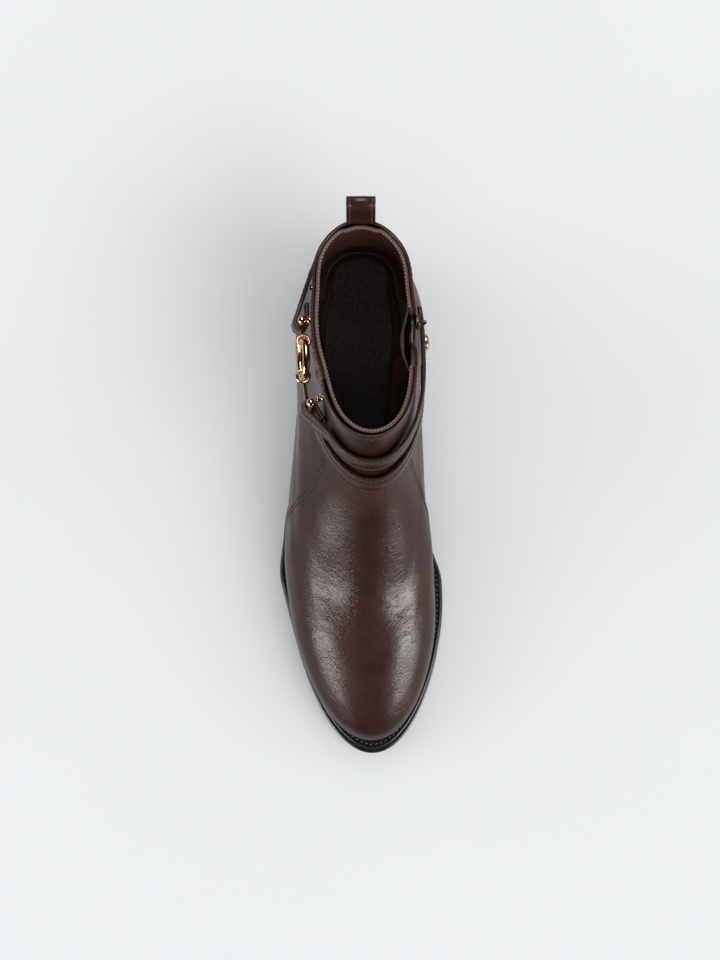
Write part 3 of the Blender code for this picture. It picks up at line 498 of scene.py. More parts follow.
ZIP_CLOTH = cloth_material("zip_cloth", (0.024, 0.014, 0.011), (0.010, 0.006, 0.005))
THREAD = thread_material("brown_thread", (0.10, 0.045, 0.030))
SEAM_THREAD = thread_material("dark_thread", (0.012, 0.006, 0.005))
WELT_THREAD = thread_material("grey_thread", (0.15, 0.135, 0.132))
PINK_THREAD = thread_material("pale_thread", (0.33, 0.215, 0.19))

# Upper: columns in each stretch of a row (lateral quarter, edge of the vamp, its seam, vamp, seam, edge,
# medial quarter, slot, back), and rows up to the collar
SKIN_COLUMNS = (100, 5, 14, 150, 14, 5, 50, 8, 45)
LINING_COLUMNS = (60, 2, 4, 90, 4, 2, 30, 6, 30)
SKIN_ROWS = 210
LINING_ROWS = 110
SLOT_SEGMENT = 7
SEAM_BAND = 6.0
SEAM_ROWS = (1.5, 3.9)
SEAM_GROOVE = 0.22
GROOVE_WIDTH = 0.45


def row_turns(v, counts):
    """Turns of one grid's columns at heights v, a column vector, with stops at the seams and the zip."""
    lateral, medial = vamp_edges(v)
    front, rear = slot_turns(v)
    stops = (np.zeros_like(v), lateral - LAP_TURN / 2, lateral, lateral + SEAM_BAND / turn_pace(lateral, v),
             medial - SEAM_BAND / turn_pace(medial, v), medial, medial + LAP_TURN / 2, front, rear,
             np.full_like(v, 2 * math.pi))
    spans = zip(stops[:-1], stops[1:], counts)
    return np.concatenate([a + (b - a) * np.linspace(0, 1, n, endpoint=False) for a, b, n in spans], axis=1)


def vamp_edges(v):
    """Turns of the vamp's lateral and medial edge."""
    lateral = seam_turn(LATERAL_SEAM, v) + LAP_TURN / 2
    return lateral, 2 * math.pi - seam_turn(MEDIAL_SEAM, v) - LAP_TURN / 2


def groove(distance):
    """Depth of the seam's two rows at a distance from the vamp's edge."""
    return sum(SEAM_GROOVE * np.exp(-((distance - row) / GROOVE_WIDTH) ** 2) for row in SEAM_ROWS)


def lap_height(turns, v):
    """Height of the vamp above the quarters without its edge and seams, and the share across it."""
    lateral, medial = vamp_edges(v)
    share = (turns - lateral) / (medial - lateral)
    fade = np.clip(v * TOP_LEVEL - MEDIAL_LAP_END, 0, 1) * np.clip(LAP_FADE * share, 0, 1) ** 2
    return VAMP_LAP * (1 - fade), share


def lap_profile(v, turns, counts):
    """The lap of each column, with a rounded edge and sunk seams."""
    rise = np.sqrt(np.linspace(0, 1, counts[1], endpoint=False))
    first_seam = 1 - groove(SEAM_BAND * np.linspace(0, 1, counts[2], endpoint=False))
    last_seam = 1 - groove(SEAM_BAND * np.linspace(1, 0, counts[4], endpoint=False))
    fall = np.sqrt(np.linspace(1, 0, counts[5], endpoint=False))
    across = np.concatenate([np.zeros(counts[0]), rise, first_seam, np.ones(counts[3]), last_seam, fall,
                             np.zeros(sum(counts[6:]))])
    return across * lap_height(turns, v)[0]


CREASE_LIP = 0.45
LIP_PLACE = 1.7
# Creases of the vamp: middle (s, x), half length, how far s moves on for 1 mm of x,
# depth and half width of the trough
CREASE_COLUMNS = ("s", "x", "reach", "slant", "depth", "width")
CREASES = (
    (174.0, -17.0, 17.0, 0.25, 1.7, 16.0),
    (177.0, 22.0, 17.0, -0.25, 1.7, 16.0),
    (167.6, -24.0, 8.0, 0.50, 0.09, 1.5),
    (170.1, 22.4, 9.0, -0.60, 0.11, 1.5),
    (174.7, -12.2, 7.0, 0.40, 0.08, 1.3),
    (178.3, -20.0, 9.0, 0.53, 0.10, 1.5),
    (178.8, 6.0, 6.0, 0.70, 0.10, 1.4),
    (181.0, 27.0, 8.0, -0.80, 0.12, 1.5),
    (185.9, 17.0, 8.0, 0.35, 0.12, 1.5),
    (186.5, -27.0, 7.0, 0.55, 0.11, 1.4),
    (191.0, 8.0, 6.0, 0.50, 0.08, 1.4),
    (193.0, -20.5, 6.0, 0.40, 0.11, 1.5),
    (195.0, 25.0, 7.0, -0.50, 0.10, 1.5),
)


def crease_height(points):
    """How far the leather is drawn in (or pushed up beside a trough) by the creases."""
    s, x = HEEL_CENTRE - points[..., 1], points[..., 0]
    height = np.zeros(s.shape)
    for row in CREASES:
        c = dict(zip(CREASE_COLUMNS, row))
        along = x - c["x"]
        across = (s - c["s"] - c["slant"] * along) / math.hypot(1, c["slant"]) / c["width"]
        fade = np.exp(-(along / c["reach"]) ** 2)
        trough = -np.exp(-across ** 2)
        lips = CREASE_LIP * sum(np.exp(-(across + place) ** 2) for place in (-LIP_PLACE, LIP_PLACE))
        height += c["depth"] * fade * (trough + lips)
    return height


# Wear of the leather: everywhere, on the vamp, across the ball and at the ankle, and where these lie
LEAST_FLEX, VAMP_FLEX, BALL_FLEX, ANKLE_FLEX = 0.12, 0.5, 0.4, 0.35
BALL_MIDDLE, BALL_REACH = 181.0, 27.0
ANKLE_MIDDLE, ANKLE_REACH = 108.0, 15.0
ANKLE_TOP, ANKLE_DROP = 100.0, 30.0
VAMP_START, VAMP_RUN = 92.0, 40.0


def flex_share(points):
    """How worn into wrinkles the leather is: most across the ball, a little at the front of the ankle."""
    s, z = HEEL_CENTRE - points[..., 1], points[..., 2]
    ball = BALL_FLEX * np.exp(-((s - BALL_MIDDLE) / BALL_REACH) ** 2)
    ankle = ANKLE_FLEX * np.exp(-((s - ANKLE_MIDDLE) / ANKLE_REACH) ** 2)
    ankle = ankle * np.clip((ANKLE_TOP - z) / ANKLE_DROP, 0, 1)
    vamp = VAMP_FLEX * np.clip((s - VAMP_START) / VAMP_RUN, 0, 1)
    return np.clip(LEAST_FLEX + vamp + ball + ankle, 0, 1)


# The collar's turned edge as (inward, up) from the outer surface at the collar
COLLAR_TURN = ((0.0, 0.35), (0.25, 0.75), (0.65, 0.95), (1.05, 0.85), (1.35, 0.5), (1.4, -0.4), (1.4, -2.0))


def slot_cells(v, counts, extra):
    """Which cells of a grid stay: all but those in the zip slot. extra rows follow above v."""
    start = sum(counts[:SLOT_SEGMENT])
    keep = np.ones((len(v) - 1 + extra, sum(counts)), bool)
    opened = np.append(v[:-1, 0] >= ZIP_FOOT, np.ones(extra, bool))
    keep[np.ix_(opened, range(start, start + counts[SLOT_SEGMENT]))] = False
    return keep


def row_heights(count):
    """Heights of a grid's rows as a column vector, one of them at the foot of the zip."""
    v = np.linspace(0, 1, count)
    v[np.argmin(abs(v - ZIP_FOOT))] = ZIP_FOOT
    return v.reshape(-1, 1)


COLLAR_START = 0.9
CORNER_RISE = 1.5
CORNER_RUN = 14.0
TUCK_IN = 0.5


def corner_rise(turns, v):
    """How far the front panel's upper corner stands above the collar on the lateral side."""
    past = (turns - vamp_edges(v)[0]) * turn_pace(turns, v)
    rise = CORNER_RISE * np.exp(-np.clip(past, 0, None) / CORNER_RUN) * (past > 0)
    return rise * ease(up_to_collar(v, COLLAR_START))


def skin_points(v):
    """The skin's grid: tucked in under its lower edge, up its face and round its turned edge."""
    turns = row_turns(v, SKIN_COLUMNS)
    base, normal = surface(turns, v)
    low, flat = level_out(normal[0]), level_out(normal[-1])
    lift = lap_profile(v, turns, SKIN_COLUMNS) + crease_height(base)
    body = base + normal * lift[..., None]
    body[0] = base[0] + low * lift[0][:, None]
    body[0, :, 2] = feather(HEEL_CENTRE - body[0, :, 1])
    tuck = body[0] - low * TUCK_IN
    tuck[:, 2] -= 2 * GAP
    body[..., 2] += corner_rise(turns, v)
    rim = [body[-1] - flat * inward + (0, 0, up) for inward, up in COLLAR_TURN]
    return np.concatenate([tuck[None], body, np.array(rim)])


def add_skin():
    """The outer leather, from under its edge at the welt to the turned edge inside the collar."""
    v = row_heights(SKIN_ROWS)
    points = skin_points(v)
    rows, columns = points.shape[:2]
    keep = np.concatenate([np.ones((1, columns), bool), slot_cells(v, SKIN_COLUMNS, len(COLLAR_TURN))])
    edge = np.zeros((rows - 1, columns), np.int32)
    edge[:, SKIN_COLUMNS[0]:SKIN_COLUMNS[0] + SKIN_COLUMNS[1] - 1] = 1
    obj = add_piece("upper_skin", points.reshape(-1, 3), grid_faces(rows, columns, True, keep),
                    [LEATHER, PAINTED_EDGE], "upper", index=edge[keep])
    flex = obj.data.attributes.new("flex", "FLOAT", "POINT")
    flex.data.foreach_set("value", flex_share(points).ravel().astype(np.float32))


# Lining: how far its foot reaches in over the footbed, and up to which height above it
FLARE_SIDE = 8.6
FLARE_LEAST = 1.2
FLARE_HEIGHT = 30.0
FLARE_START, FLARE_RUN = 1.0, 22.0
FLARE_END, FLARE_FALL = 85.0, 40.0
LINING_GAP = 0.1
LINING_LIP = 0.9
LEVEL_SHARE = 0.005
# Pull loop's push on the lining: how far, from which s back, and half width with its run-out, about x
LOOP_PUSH = 1.1
PUSH_START, PUSH_RUN = 14.0, 8.0
PUSH_HALF, PUSH_EDGE = 11.6, 4.0
PUSH_MIDDLE = 0.4


def flare(points):
    """How far the lining's foot reaches in at points of the upper."""
    s = HEEL_CENTRE - points[..., 1]
    above = points[..., 2] - footbed(s)
    side = FLARE_SIDE * ease((s - FLARE_START) / FLARE_RUN) * (1 - ease((s - FLARE_END) / FLARE_FALL))
    return (FLARE_LEAST + side) * (1 - np.clip(above / FLARE_HEIGHT, 0, 1)) ** 2


def ease(q):
    """A smooth step from 0 to 1."""
    q = np.clip(q, 0, 1)
    return q * q * (3 - 2 * q)


def loop_push(points):
    """How far the lining's edge is pushed in by the pull loop behind it."""
    behind = ease((PUSH_START - HEEL_CENTRE + points[..., 1]) / PUSH_RUN)
    return LOOP_PUSH * behind * ease((PUSH_HALF - abs(points[..., 0] - PUSH_MIDDLE)) / PUSH_EDGE)


def lining_point(turn, v):
    """The lining's inner face and the direction out of it, into the boot."""
    base, normal = surface(turn, v)
    edge = ((v > 1 - LEVEL_SHARE) | (v < LEVEL_SHARE))[..., None]
    normal = np.where(edge, level_out(normal), normal)
    lip = LINING_LIP * up_to_collar(v, COLLAR_START) ** 2
    depth = WALL + LINING_GAP + flare(base) + lip * (1 + loop_push(base))
    return base - normal * depth[..., None], -normal


def add_lining():
    """The lining inside, from the footbed up to its edge at the collar."""
    v = row_heights(LINING_ROWS)
    turns = row_turns(v, LINING_COLUMNS)
    inside, inward = lining_point(turns, v)
    keep = slot_cells(v, LINING_COLUMNS, 0)
    faces = grid_faces(len(v), turns.shape[1], True, keep)[:, ::-1]
    add_piece("lining", inside.reshape(-1, 3), faces, [LINING], None)


# Sole
SOLE_POINTS = 420
HEEL_STEPS = 70


def plan_ring(row_values):
    """A closed plan curve in (s, x) from one row of a level's values."""
    row = dict(zip(LEVEL_COLUMNS, row_values))
    s, x, share = plan_point(row, round_turns(SOLE_POINTS))
    return np.stack([s, x], axis=1)


def outset(plan, distance):
    """A closed plan curve moved out by a distance, which may vary along it."""
    along = unit(np.roll(plan, -1, axis=0) - np.roll(plan, 1, axis=0))
    normal = np.stack([along[:, 1], -along[:, 0]], axis=1)
    if np.sum(normal * (plan - plan.mean(axis=0))) < 0:
        normal = -normal
    return plan + normal * np.reshape(distance, (-1, 1))


def raised(plan, heights):
    """A plan curve in (s, x) as points at heights."""
    heights = np.broadcast_to(heights, len(plan))
    return np.stack([plan[:, 1], HEEL_CENTRE - plan[:, 0], heights], axis=1)


def section_rings(plan, section, base, scale=1.0):
    """Rings of a section of (inset from the plan, height) pairs, on a base whose height goes with s."""
    lines = [outset(plan, -inset) for inset, up in section]
    return [raised(line, base(line[:, 0]) + scale * up) for line, (inset, up) in zip(lines, section)]


def cap_faces(start, count):
    """A cap of a ring whose points i and count - i face each other, as strips across it."""
    faces = []
    for i in range(count // 2):
        ring = [start + i, start + i + 1, start + (count - i - 1) % count, start + (count - i) % count]
        faces.append(tuple(dict.fromkeys(ring)))
    return faces


def add_rings(name, rings, material, node, closed=False):
    """A solid of stacked rings, capped, or closed by joining the last ring to the first."""
    count = len(rings[0])
    rings = rings + rings[:1] if closed else rings
    faces = grid_faces(len(rings), count).tolist()
    if not closed:
        faces += [face[::-1] for face in cap_faces(0, count)] + cap_faces((len(rings) - 1) * count, count)
    obj = add_piece(name, np.concatenate(rings), faces, [material], node)
    tidy_normals(obj)
    return obj


def tidy_normals(obj):
    work = bmesh.new()
    work.from_mesh(obj.data)
    bmesh.ops.remove_doubles(work, verts=work.verts, dist=1e-7)
    bmesh.ops.recalc_face_normals(work, faces=work.faces)
    work.to_mesh(obj.data)
    work.free()


# The outsole's edge from tread to top as (inset, share of its thickness): two ribs with a groove between
OUTSOLE_EDGE = ((4.0, 0.0), (0.9, 0.0), (0.3, 0.05), (0.0, 0.17), (0.0, 0.36), (0.25, 0.44), (0.55, 0.48),
                (0.55, 0.54), (0.2, 0.59), (0.05, 0.67), (0.05, 0.83), (0.3, 0.94), (0.9, 1.0), (4.0, 1.0))


def add_outsole():
    rings = section_rings(plan_ring(OUTSOLE_PLAN), OUTSOLE_EDGE, sole_bottom, OUTSOLE_THICK)
    add_rings("outsole_rubber", rings, RUBBER, "outsole")


# The welt's section as (inset from its edge, height share), with the stitch groove in its top
WELT_EDGE = ((0.0, 0.0), (0.0, 0.55), (0.15, 0.8), (0.6, 0.97), (1.2, 1.0), (1.7, 0.98), (1.95, 0.8),
             (2.3, 0.72), (2.65, 0.8), (2.9, 0.98), (3.3, 1.0))
GROOVE_INSET = 2.3


def welt_plan():
    """The outsole's plan drawn in where its lower lip shows, most at the toe."""
    plan = plan_ring(OUTSOLE_PLAN)
    return outset(plan, -(SIDE_LIP + (TOE_LIP - SIDE_LIP) * toe_share(plan[:, 0]) ** 2))


def add_welt():
    rings = section_rings(welt_plan(), WELT_EDGE, welt_bottom, WELT_THICK)
    rings += section_rings(plan_ring(UPPER_LEVELS[0]), ((WALL, 1.0), (WALL, 0.0)), welt_bottom, WELT_THICK)
    add_rings("welt_strip", rings, RUBBER, "welt", closed=True)


# The pad's section as (inset from its edge, height)
PAD_SECTION = ((0.0, -3.0), (0.0, -0.8), (0.25, -0.25), (0.8, 0.0), (2.2, 0.0), (5.0, -0.25), (9.0, -0.4))


def add_insole():
    """The footbed pad, dished a little from its edge."""
    plan = outset(plan_ring(UPPER_LEVELS[0]), -(WALL + 2 * GAP))
    rings = section_rings(plan, PAD_SECTION, footbed)
    pad = add_rings("footbed_pad", rings, FOOTBED, "insole")


def heel_plan(taper):
    """The heel's plan: the outsole's edge behind the breast, drawn in by taper."""
    row = dict(zip(LEVEL_COLUMNS, OUTSOLE_PLAN))
    breast_share = (HEEL_BREAST - row["back_s"]) / (row["front_s"] - row["back_s"])
    turns = np.linspace(0, share_turn(breast_share), HEEL_STEPS + 1)
    s, lateral, share = plan_point(row, turns)
    s, medial, share = plan_point(row, -turns)
    plan = np.concatenate([np.stack([s, lateral], axis=1), np.stack([s, medial], axis=1)[:0:-1]])
    centre = np.array([HEEL_CENTRE, row["c_back"]])
    return centre + (plan - centre) * (1 - HEEL_INSET / HEEL_CENTRE - taper)


HEEL_LIFTS = 5
LIFT_LINE = 0.35
LIFT_TAPER = HEEL_TAPER * TOP_LIFT_THICK / HEEL_RISE
# Sections of a lift and of the top lift as (share of its height, dent)
LIFT_SECTION = ((0.0, LIFT_LINE), (0.05, 0.08), (0.12, 0.0), (0.88, 0.0), (0.95, 0.08), (1.0, LIFT_LINE))
TOP_LIFT_SECTION = ((0.0, 0.5), (0.06, 0.1), (0.15, 0.0), (0.85, 0.0), (1.0, 0.3))


def add_heel():
    """The block heel, scored with the lines of its lifts."""
    low = TOP_LIFT_THICK + GAP
    rings = []
    for i in range(HEEL_LIFTS):
        for share, dent in LIFT_SECTION:
            climb = (i + share) / HEEL_LIFTS
            line = heel_plan((HEEL_TAPER - LIFT_TAPER) * (1 - climb) + dent / HEEL_CENTRE)
            top = sole_bottom(line[:, 0]) - GAP
            rings.append(raised(line, low + (top - low) * climb))
    add_rings("heel_block", rings, RUBBER, "heel")


def add_top_lift():
    rings = []
    for share, dent in TOP_LIFT_SECTION:
        line = heel_plan(HEEL_TAPER - LIFT_TAPER * share + dent / HEEL_CENTRE)
        rings.append(raised(line, TOP_LIFT_THICK * share))
    add_rings("heel_top_lift", rings, RUBBER, "top_lift")


# Small parts of a mesh, each as points and quads
TURNED_STEPS = 36


def merged(parts):
    """Several (points, quads) as one."""
    starts = np.cumsum([0] + [len(points) for points, quads in parts[:-1]])
    return (np.concatenate([points for points, quads in parts]),
            np.concatenate([quads + start for (points, quads), start in zip(parts, starts)]))


def turned(profile, origin, axis):
    """(radius, height) pairs spun round an axis from an origin."""
    axis = unit(axis)
    side = unit(np.cross(axis, (0.3, 1.0, 0.2)))
    turns = round_turns(TURNED_STEPS)
    ring = np.outer(np.cos(turns), side) + np.outer(np.sin(turns), np.cross(axis, side))
    rings = [origin + axis * height + ring * radius for radius, height in profile]
    return np.concatenate(rings), grid_faces(len(rings), TURNED_STEPS)


def oval(centre, along, up, half_length, half_height, wire, steps, sides):
    """A round wire bent to an oval about a centre."""
    turns = round_turns(steps).reshape(-1, 1)
    path = centre + along * half_length * np.cos(turns) + up * half_height * np.sin(turns)
    ahead = unit(-along * half_length * np.sin(turns) + up * half_height * np.cos(turns))
    level = unit(np.cross(along, up))
    out = np.cross(ahead, level)
    around = round_turns(sides)
    rings = np.stack([path + (out * math.cos(a) + level * math.sin(a)) * wire for a in around], axis=1)
    rows = np.concatenate([rings, rings[:1]])
    return rows.reshape(-1, 3), grid_faces(steps + 1, sides)


def run_along(points):
    """The length run up to each of a row of points."""
    return np.concatenate([[0], np.cumsum(np.linalg.norm(np.diff(points, axis=0), axis=1))])


def resampled(vectors, run, count):
    """A smooth curve through vectors at lengths run, at even steps."""
    place = np.linspace(0, run[-1], count)
    return np.stack([smooth(run, vectors[:, i], place) for i in range(3)], axis=1)


CAPSULE_RINGS = ((-1.0, 0.0), (-0.9, 0.55), (-0.6, 0.95), (0.0, 1.0), (0.6, 0.95), (0.9, 0.55), (1.0, 0.0))
CAPSULE_SIDES = 6


def capsules(centres, ahead, normals, length, width, bow):
    """A round-ended grain at each centre, bowed down at its ends."""
    side = np.cross(normals, ahead)
    turns = round_turns(CAPSULE_SIDES)
    rings = []
    for place, thick in CAPSULE_RINGS:
        middle = centres + ahead * place * length / 2 - normals * bow * place ** 2
        rings += [middle + (side * math.cos(a) + normals * math.sin(a)) * thick * width / 2 for a in turns]
    points = np.stack(rings, axis=1)
    quads = grid_faces(len(CAPSULE_RINGS), CAPSULE_SIDES)
    starts = np.arange(len(centres)) * points.shape[1]
    return points.reshape(-1, 3), (starts[:, None, None] + quads).reshape(-1, 4)


STITCH_PITCH = 2.7
STITCH_LENGTH = 2.2
STITCH_WIDTH = 0.62
STITCH_BOW = 0.35
ZIGZAG_PITCH = 1.7
ZIGZAG_WIDTH = 0.5
ZIGZAG_LENGTH = 1.3 * ZIGZAG_PITCH
ZIGZAG_SLANT = math.radians(38)


def stitches(path, normals, pitch=STITCH_PITCH, length=STITCH_LENGTH, width=STITCH_WIDTH, slant=0.0):
    """A seam's stitches along a path of points."""
    path, normals = np.asarray(path), np.asarray(normals)
    run = run_along(path)
    places = np.arange(pitch / 2, run[-1], pitch)
    ahead = np.gradient(path, run, axis=0)
    centres, ahead, normals = (np.stack([np.interp(places, run, a[:, i]) for i in range(3)], axis=1)
                               for a in (path, ahead, normals))
    ahead = unit(ahead)
    normals = unit(normals - ahead * np.sum(normals * ahead, axis=1, keepdims=True))
    ahead = ahead * math.cos(slant) + np.cross(normals, ahead) * math.sin(slant)
    return capsules(centres, ahead, normals, length, width, width * STITCH_BOW)


def zigzag(path, normals, width):
    """Stitches that slant by turns to either side."""
    pairs = [(path, ZIGZAG_SLANT), (path[2:], -ZIGZAG_SLANT)]
    return merged([stitches(p, normals[-len(p):], ZIGZAG_PITCH, ZIGZAG_LENGTH, width, s) for p, s in pairs])


def add_parts(name, parts, material, node=None, body="boot"):
    """Joined parts as one piece."""
    points, quads = merged(parts)
    tidy_normals(add_piece(name, points, quads, [material], node, body))


# Straps: main sizes and paths as in the part
STRAP_WIDTH = 13.0
STRAP_THICK = 2.0
STRAP_LEAN = 0.07
STRAP_LIFT = VAMP_LAP + 1.1
TAB_LIFT = 2.4
STRAP_STEPS = 28
STRAP_COLUMNS = ("lateral_end", "medial_end", "lateral_v", "front_v", "medial_v")
UPPER_STRAP = (0.865, 0.66, 0.803, 0.825, 0.83)
LOWER_STRAP = (0.70, 0.54, 0.725, 0.742, 0.738)
REAR_STRAP_ENDS = (0.01, 0.11)
REAR_STRAP_HEIGHT = 0.745
REAR_STRAP_LIFTS = (0.5, 0.9)
REAR_STRAP_STEPS = 8
FRONT_LOOP_START = (92.6, -19.2, 115.0)
REAR_LOOP_START = (33.0, -27.2, 111.0)
LOOP_RADIUS = 1.9
LOOP_RETURN = 0.9
LOOP_HALF_GAP = 0.8 * GAP
TAB_TIP_S = 36.0
TAB_TIP_HEIGHT = 0.812
TAB_STEPS = 40
STRAP_ROUND = 0.7
STRAP_SEAM = 2.0
THREAD_SINK = 0.1
STRAP_GROOVE = ((0.6, 0.0), (0.3, -0.17), (0.0, -0.24), (-0.3, -0.17), (-0.6, 0.0))
FRONT_BAR = ((82.3, -23.5, 124.0), (88.5, -26.6, 103.0))
REAR_BAR = ((42.4, -27.9, 121.0), (45.2, -30.2, 101.0))


def at(point):
    """A point (s, x, z) as (x, y, z)."""
    s, x, z = point
    return np.array([x, HEEL_CENTRE - s, z])


def shaft_path(turns, heights, lifts, lean):
    """Centres on the upper's surface, lifted off it, with the direction of the width beside it."""
    climb = 0.02
    base, normal = surface(turns, heights)
    centres = base + normal * np.reshape(lifts, (-1, 1))
    rise = unit(upper_point(turns, heights + climb) - upper_point(turns, heights - climb))
    return centres, unit(rise + normal * np.reshape(lean, (-1, 1)))


def strap_path(strap, medial_lift):
    """A strap's centres round the front of the shaft from its medial to its lateral end."""
    row = dict(zip(STRAP_COLUMNS, strap))
    lateral, medial = share_turn(row["lateral_end"]), 2 * math.pi - share_turn(row["medial_end"])
    turns = np.linspace(medial, lateral, STRAP_STEPS)
    stations = (lateral, math.pi, medial)
    heights = smooth(stations, [row[name] for name in STRAP_COLUMNS[2:]], turns)
    lifts = smooth(stations, (STRAP_LIFT, STRAP_LIFT, medial_lift), turns)
    leans = smooth(stations, (STRAP_LEAN, STRAP_LEAN, 0), turns)
    return shaft_path(turns, heights, lifts, leans)


def rear_strap_path():
    turns = np.linspace(*(share_turn(share) for share in REAR_STRAP_ENDS), REAR_STRAP_STEPS)
    lifts = np.linspace(*REAR_STRAP_LIFTS, len(turns))
    return shaft_path(turns, np.full(len(turns), REAR_STRAP_HEIGHT), lifts, 0)


def tab_end():
    """Where the closing tab meets the upper strap, as s and height share."""
    row = dict(zip(STRAP_COLUMNS, UPPER_STRAP))
    level = level_values(row["medial_v"])
    return float(level["back_s"] + (level["front_s"] - level["back_s"]) * row["medial_end"]), row["medial_v"]


def tab_height(s):
    end_s, end_height = tab_end()
    return np.interp(s, (TAB_TIP_S, end_s), (TAB_TIP_HEIGHT, end_height))


def tab_path():
    """The closing tab's centres from its tip to the upper strap's end, closest together at the tip."""
    s = TAB_TIP_S + (tab_end()[0] - TAB_TIP_S) * np.linspace(0.006, 0.985, TAB_STEPS) ** 1.5
    heights = tab_height(s)
    return shaft_path(turn_at(s, heights, -1), heights, np.full(len(s), TAB_LIFT), 0)


def loop_path(bar, arrive, hand):
    """A strap's loop round a bar: past its outer side, round its far side and back beside itself."""
    top, low = at(bar[0]), at(bar[1])
    axis = unit(top - low)
    middle = (top + low) / 2
    arrive = at(arrive)
    arrive = arrive - axis * np.dot(arrive - middle, axis)
    ahead = unit(middle - arrive)
    side = np.cross(axis, ahead) * hand
    reach = np.linalg.norm(middle - arrive)

    def leg(q, beside):
        return middle - ahead * reach * q + side * beside * (LOOP_RADIUS + (LOOP_HALF_GAP - LOOP_RADIUS) * q)

    path = [arrive + side * LOOP_HALF_GAP] + [leg(q, 1) for q in (0.6, 0.3)]
    for angle in np.linspace(0, math.pi, 13):
        path.append(middle + (side * math.cos(angle) + ahead * math.sin(angle)) * LOOP_RADIUS)
    path += [leg(q, -1) for q in (0.3, 0.6, LOOP_RETURN)]
    return np.array(path), np.repeat(axis[None], len(path), axis=0)


def joined(*paths):
    return [np.concatenate(group) for group in zip(*paths)]


def strap_section(width, thick, seam):
    """A strap's section as (across, out) pairs: round edges, and a groove for each seam of its face."""
    half, edge = width / 2, min(STRAP_ROUND, 0.45 * thick)

    def corner(side, level, start):
        angles = np.radians(np.linspace(start, start + 90, 5))
        return [(side * (half - edge) + edge * math.cos(a), level + edge * math.sin(a)) for a in angles]

    points = corner(-1, edge, 180) + corner(1, edge, 270) + corner(1, thick - edge, 0)
    for side in (1, -1):
        points += [(side * (half - seam) + step, thick + drop) for step, drop in STRAP_GROOVE]
    return np.array(points + corner(-1, thick - edge, 90)), half - edge


class Ribbon:
    """A strap swept along a path, with its frame kept for the seams on it."""

    def __init__(self, path, count, width, thick, seam=STRAP_SEAM, hand=1, round_tip=False):
        run = run_along(path[0])
        self.centres = resampled(path[0], run, count)
        self.across = unit(resampled(path[1], run, count)) * hand
        self.out = unit(np.cross(self.across, np.gradient(self.centres, axis=0)))
        self.section, self.flat_half = strap_section(width, thick, seam)
        self.row = width / 2 - seam
        self.thick = thick
        short = np.clip(1 - run_along(self.centres) / (width / 2), 0, 1) if round_tip else np.zeros(count)
        self.scale = np.sqrt(np.clip(1 - short ** 2, 0.02, 1))

    def add(self, name, node):
        a, o = self.section.T
        rings = (self.centres[:, None] + self.across[:, None] * (a * self.scale[:, None])[..., None]
                 + self.out[:, None] * o[:, None])
        rows, count = rings.shape[:2]
        quads = grid_faces(rows, count).tolist()
        painted = abs(a) > self.flat_half - 0.01
        index = np.tile(painted & np.roll(painted, -1), rows - 1).astype(int).tolist()
        caps = [list(range(count))[::-1], list(range((rows - 1) * count, rows * count))]
        tidy_normals(add_piece(name, rings.reshape(-1, 3), quads + caps, [STRAP_LEATHER, PAINTED_EDGE], node,
                               index=index + [1, 1]))

    def seams(self, first=0.02, last=0.98):
        """Stitches along both edges, between two shares of the length."""
        run = slice(int(first * len(self.centres)), int(last * len(self.centres)))
        row = np.minimum(self.row, self.scale * (self.row + 2 * STRAP_SEAM) - 2 * STRAP_SEAM)[:, None]
        path = self.centres + self.out * (self.thick - THREAD_SINK)
        return [stitches((path + self.across * side * row)[run], self.out[run]) for side in (1, -1)]

    def cross_seam(self, share):
        """Stitches across the strap at one share of its length."""
        i = int(share * len(self.centres))
        row = np.linspace(-self.row, self.row, 12).reshape(-1, 1)
        path = self.centres[i] + self.across[i] * row + self.out[i] * (self.thick + 0.05)
        return stitches(path, np.repeat(self.out[i:i + 1], 12, axis=0))


def add_straps():
    """The upper strap with the closing tab at its end, the lower one and the rear one, with their seams."""
    upper_path = joined(tab_path(), strap_path(UPPER_STRAP, TAB_LIFT),
                        loop_path(FRONT_BAR, FRONT_LOOP_START, 1))
    rear_path = joined(rear_strap_path(), loop_path(REAR_BAR, REAR_LOOP_START, -1))
    upper = Ribbon(upper_path, 260, STRAP_WIDTH, STRAP_THICK, round_tip=True)
    lower = Ribbon(strap_path(LOWER_STRAP, STRAP_LIFT), 150, STRAP_WIDTH, STRAP_THICK)
    rear = Ribbon(rear_path, 110, STRAP_WIDTH, STRAP_THICK, hand=-1)
    upper.add("upper_strap_leather", ("upper_strap", "closing_tab"))
    lower.add("lower_strap_leather", "lower_strap")
    rear.add("rear_strap_leather", "rear_strap")
    rows = upper.seams(0.012, 0.93) + lower.seams() + rear.seams(0.02, 0.8)
    rows += [upper.cross_seam(0.86), rear.cross_seam(0.36)]
    add_parts("strap_stitches", rows, THREAD)


# Bit hardware, studs and snap: main sizes as in the part
BAR_RADIUS = 1.5
BALL_RADIUS = 2.2
ROD_RADIUS = 0.9
EYE_RADIUS = 3.0
EYE_WIRE = 0.8
RING_CENTRE = (60.6, -27.5, 112.6)
RING_LENGTH = 20.4
RING_HEIGHT = 15.0
RING_WIRE = 1.8
RING_LEAN = math.radians(17)
RING_SWING = math.radians(24)
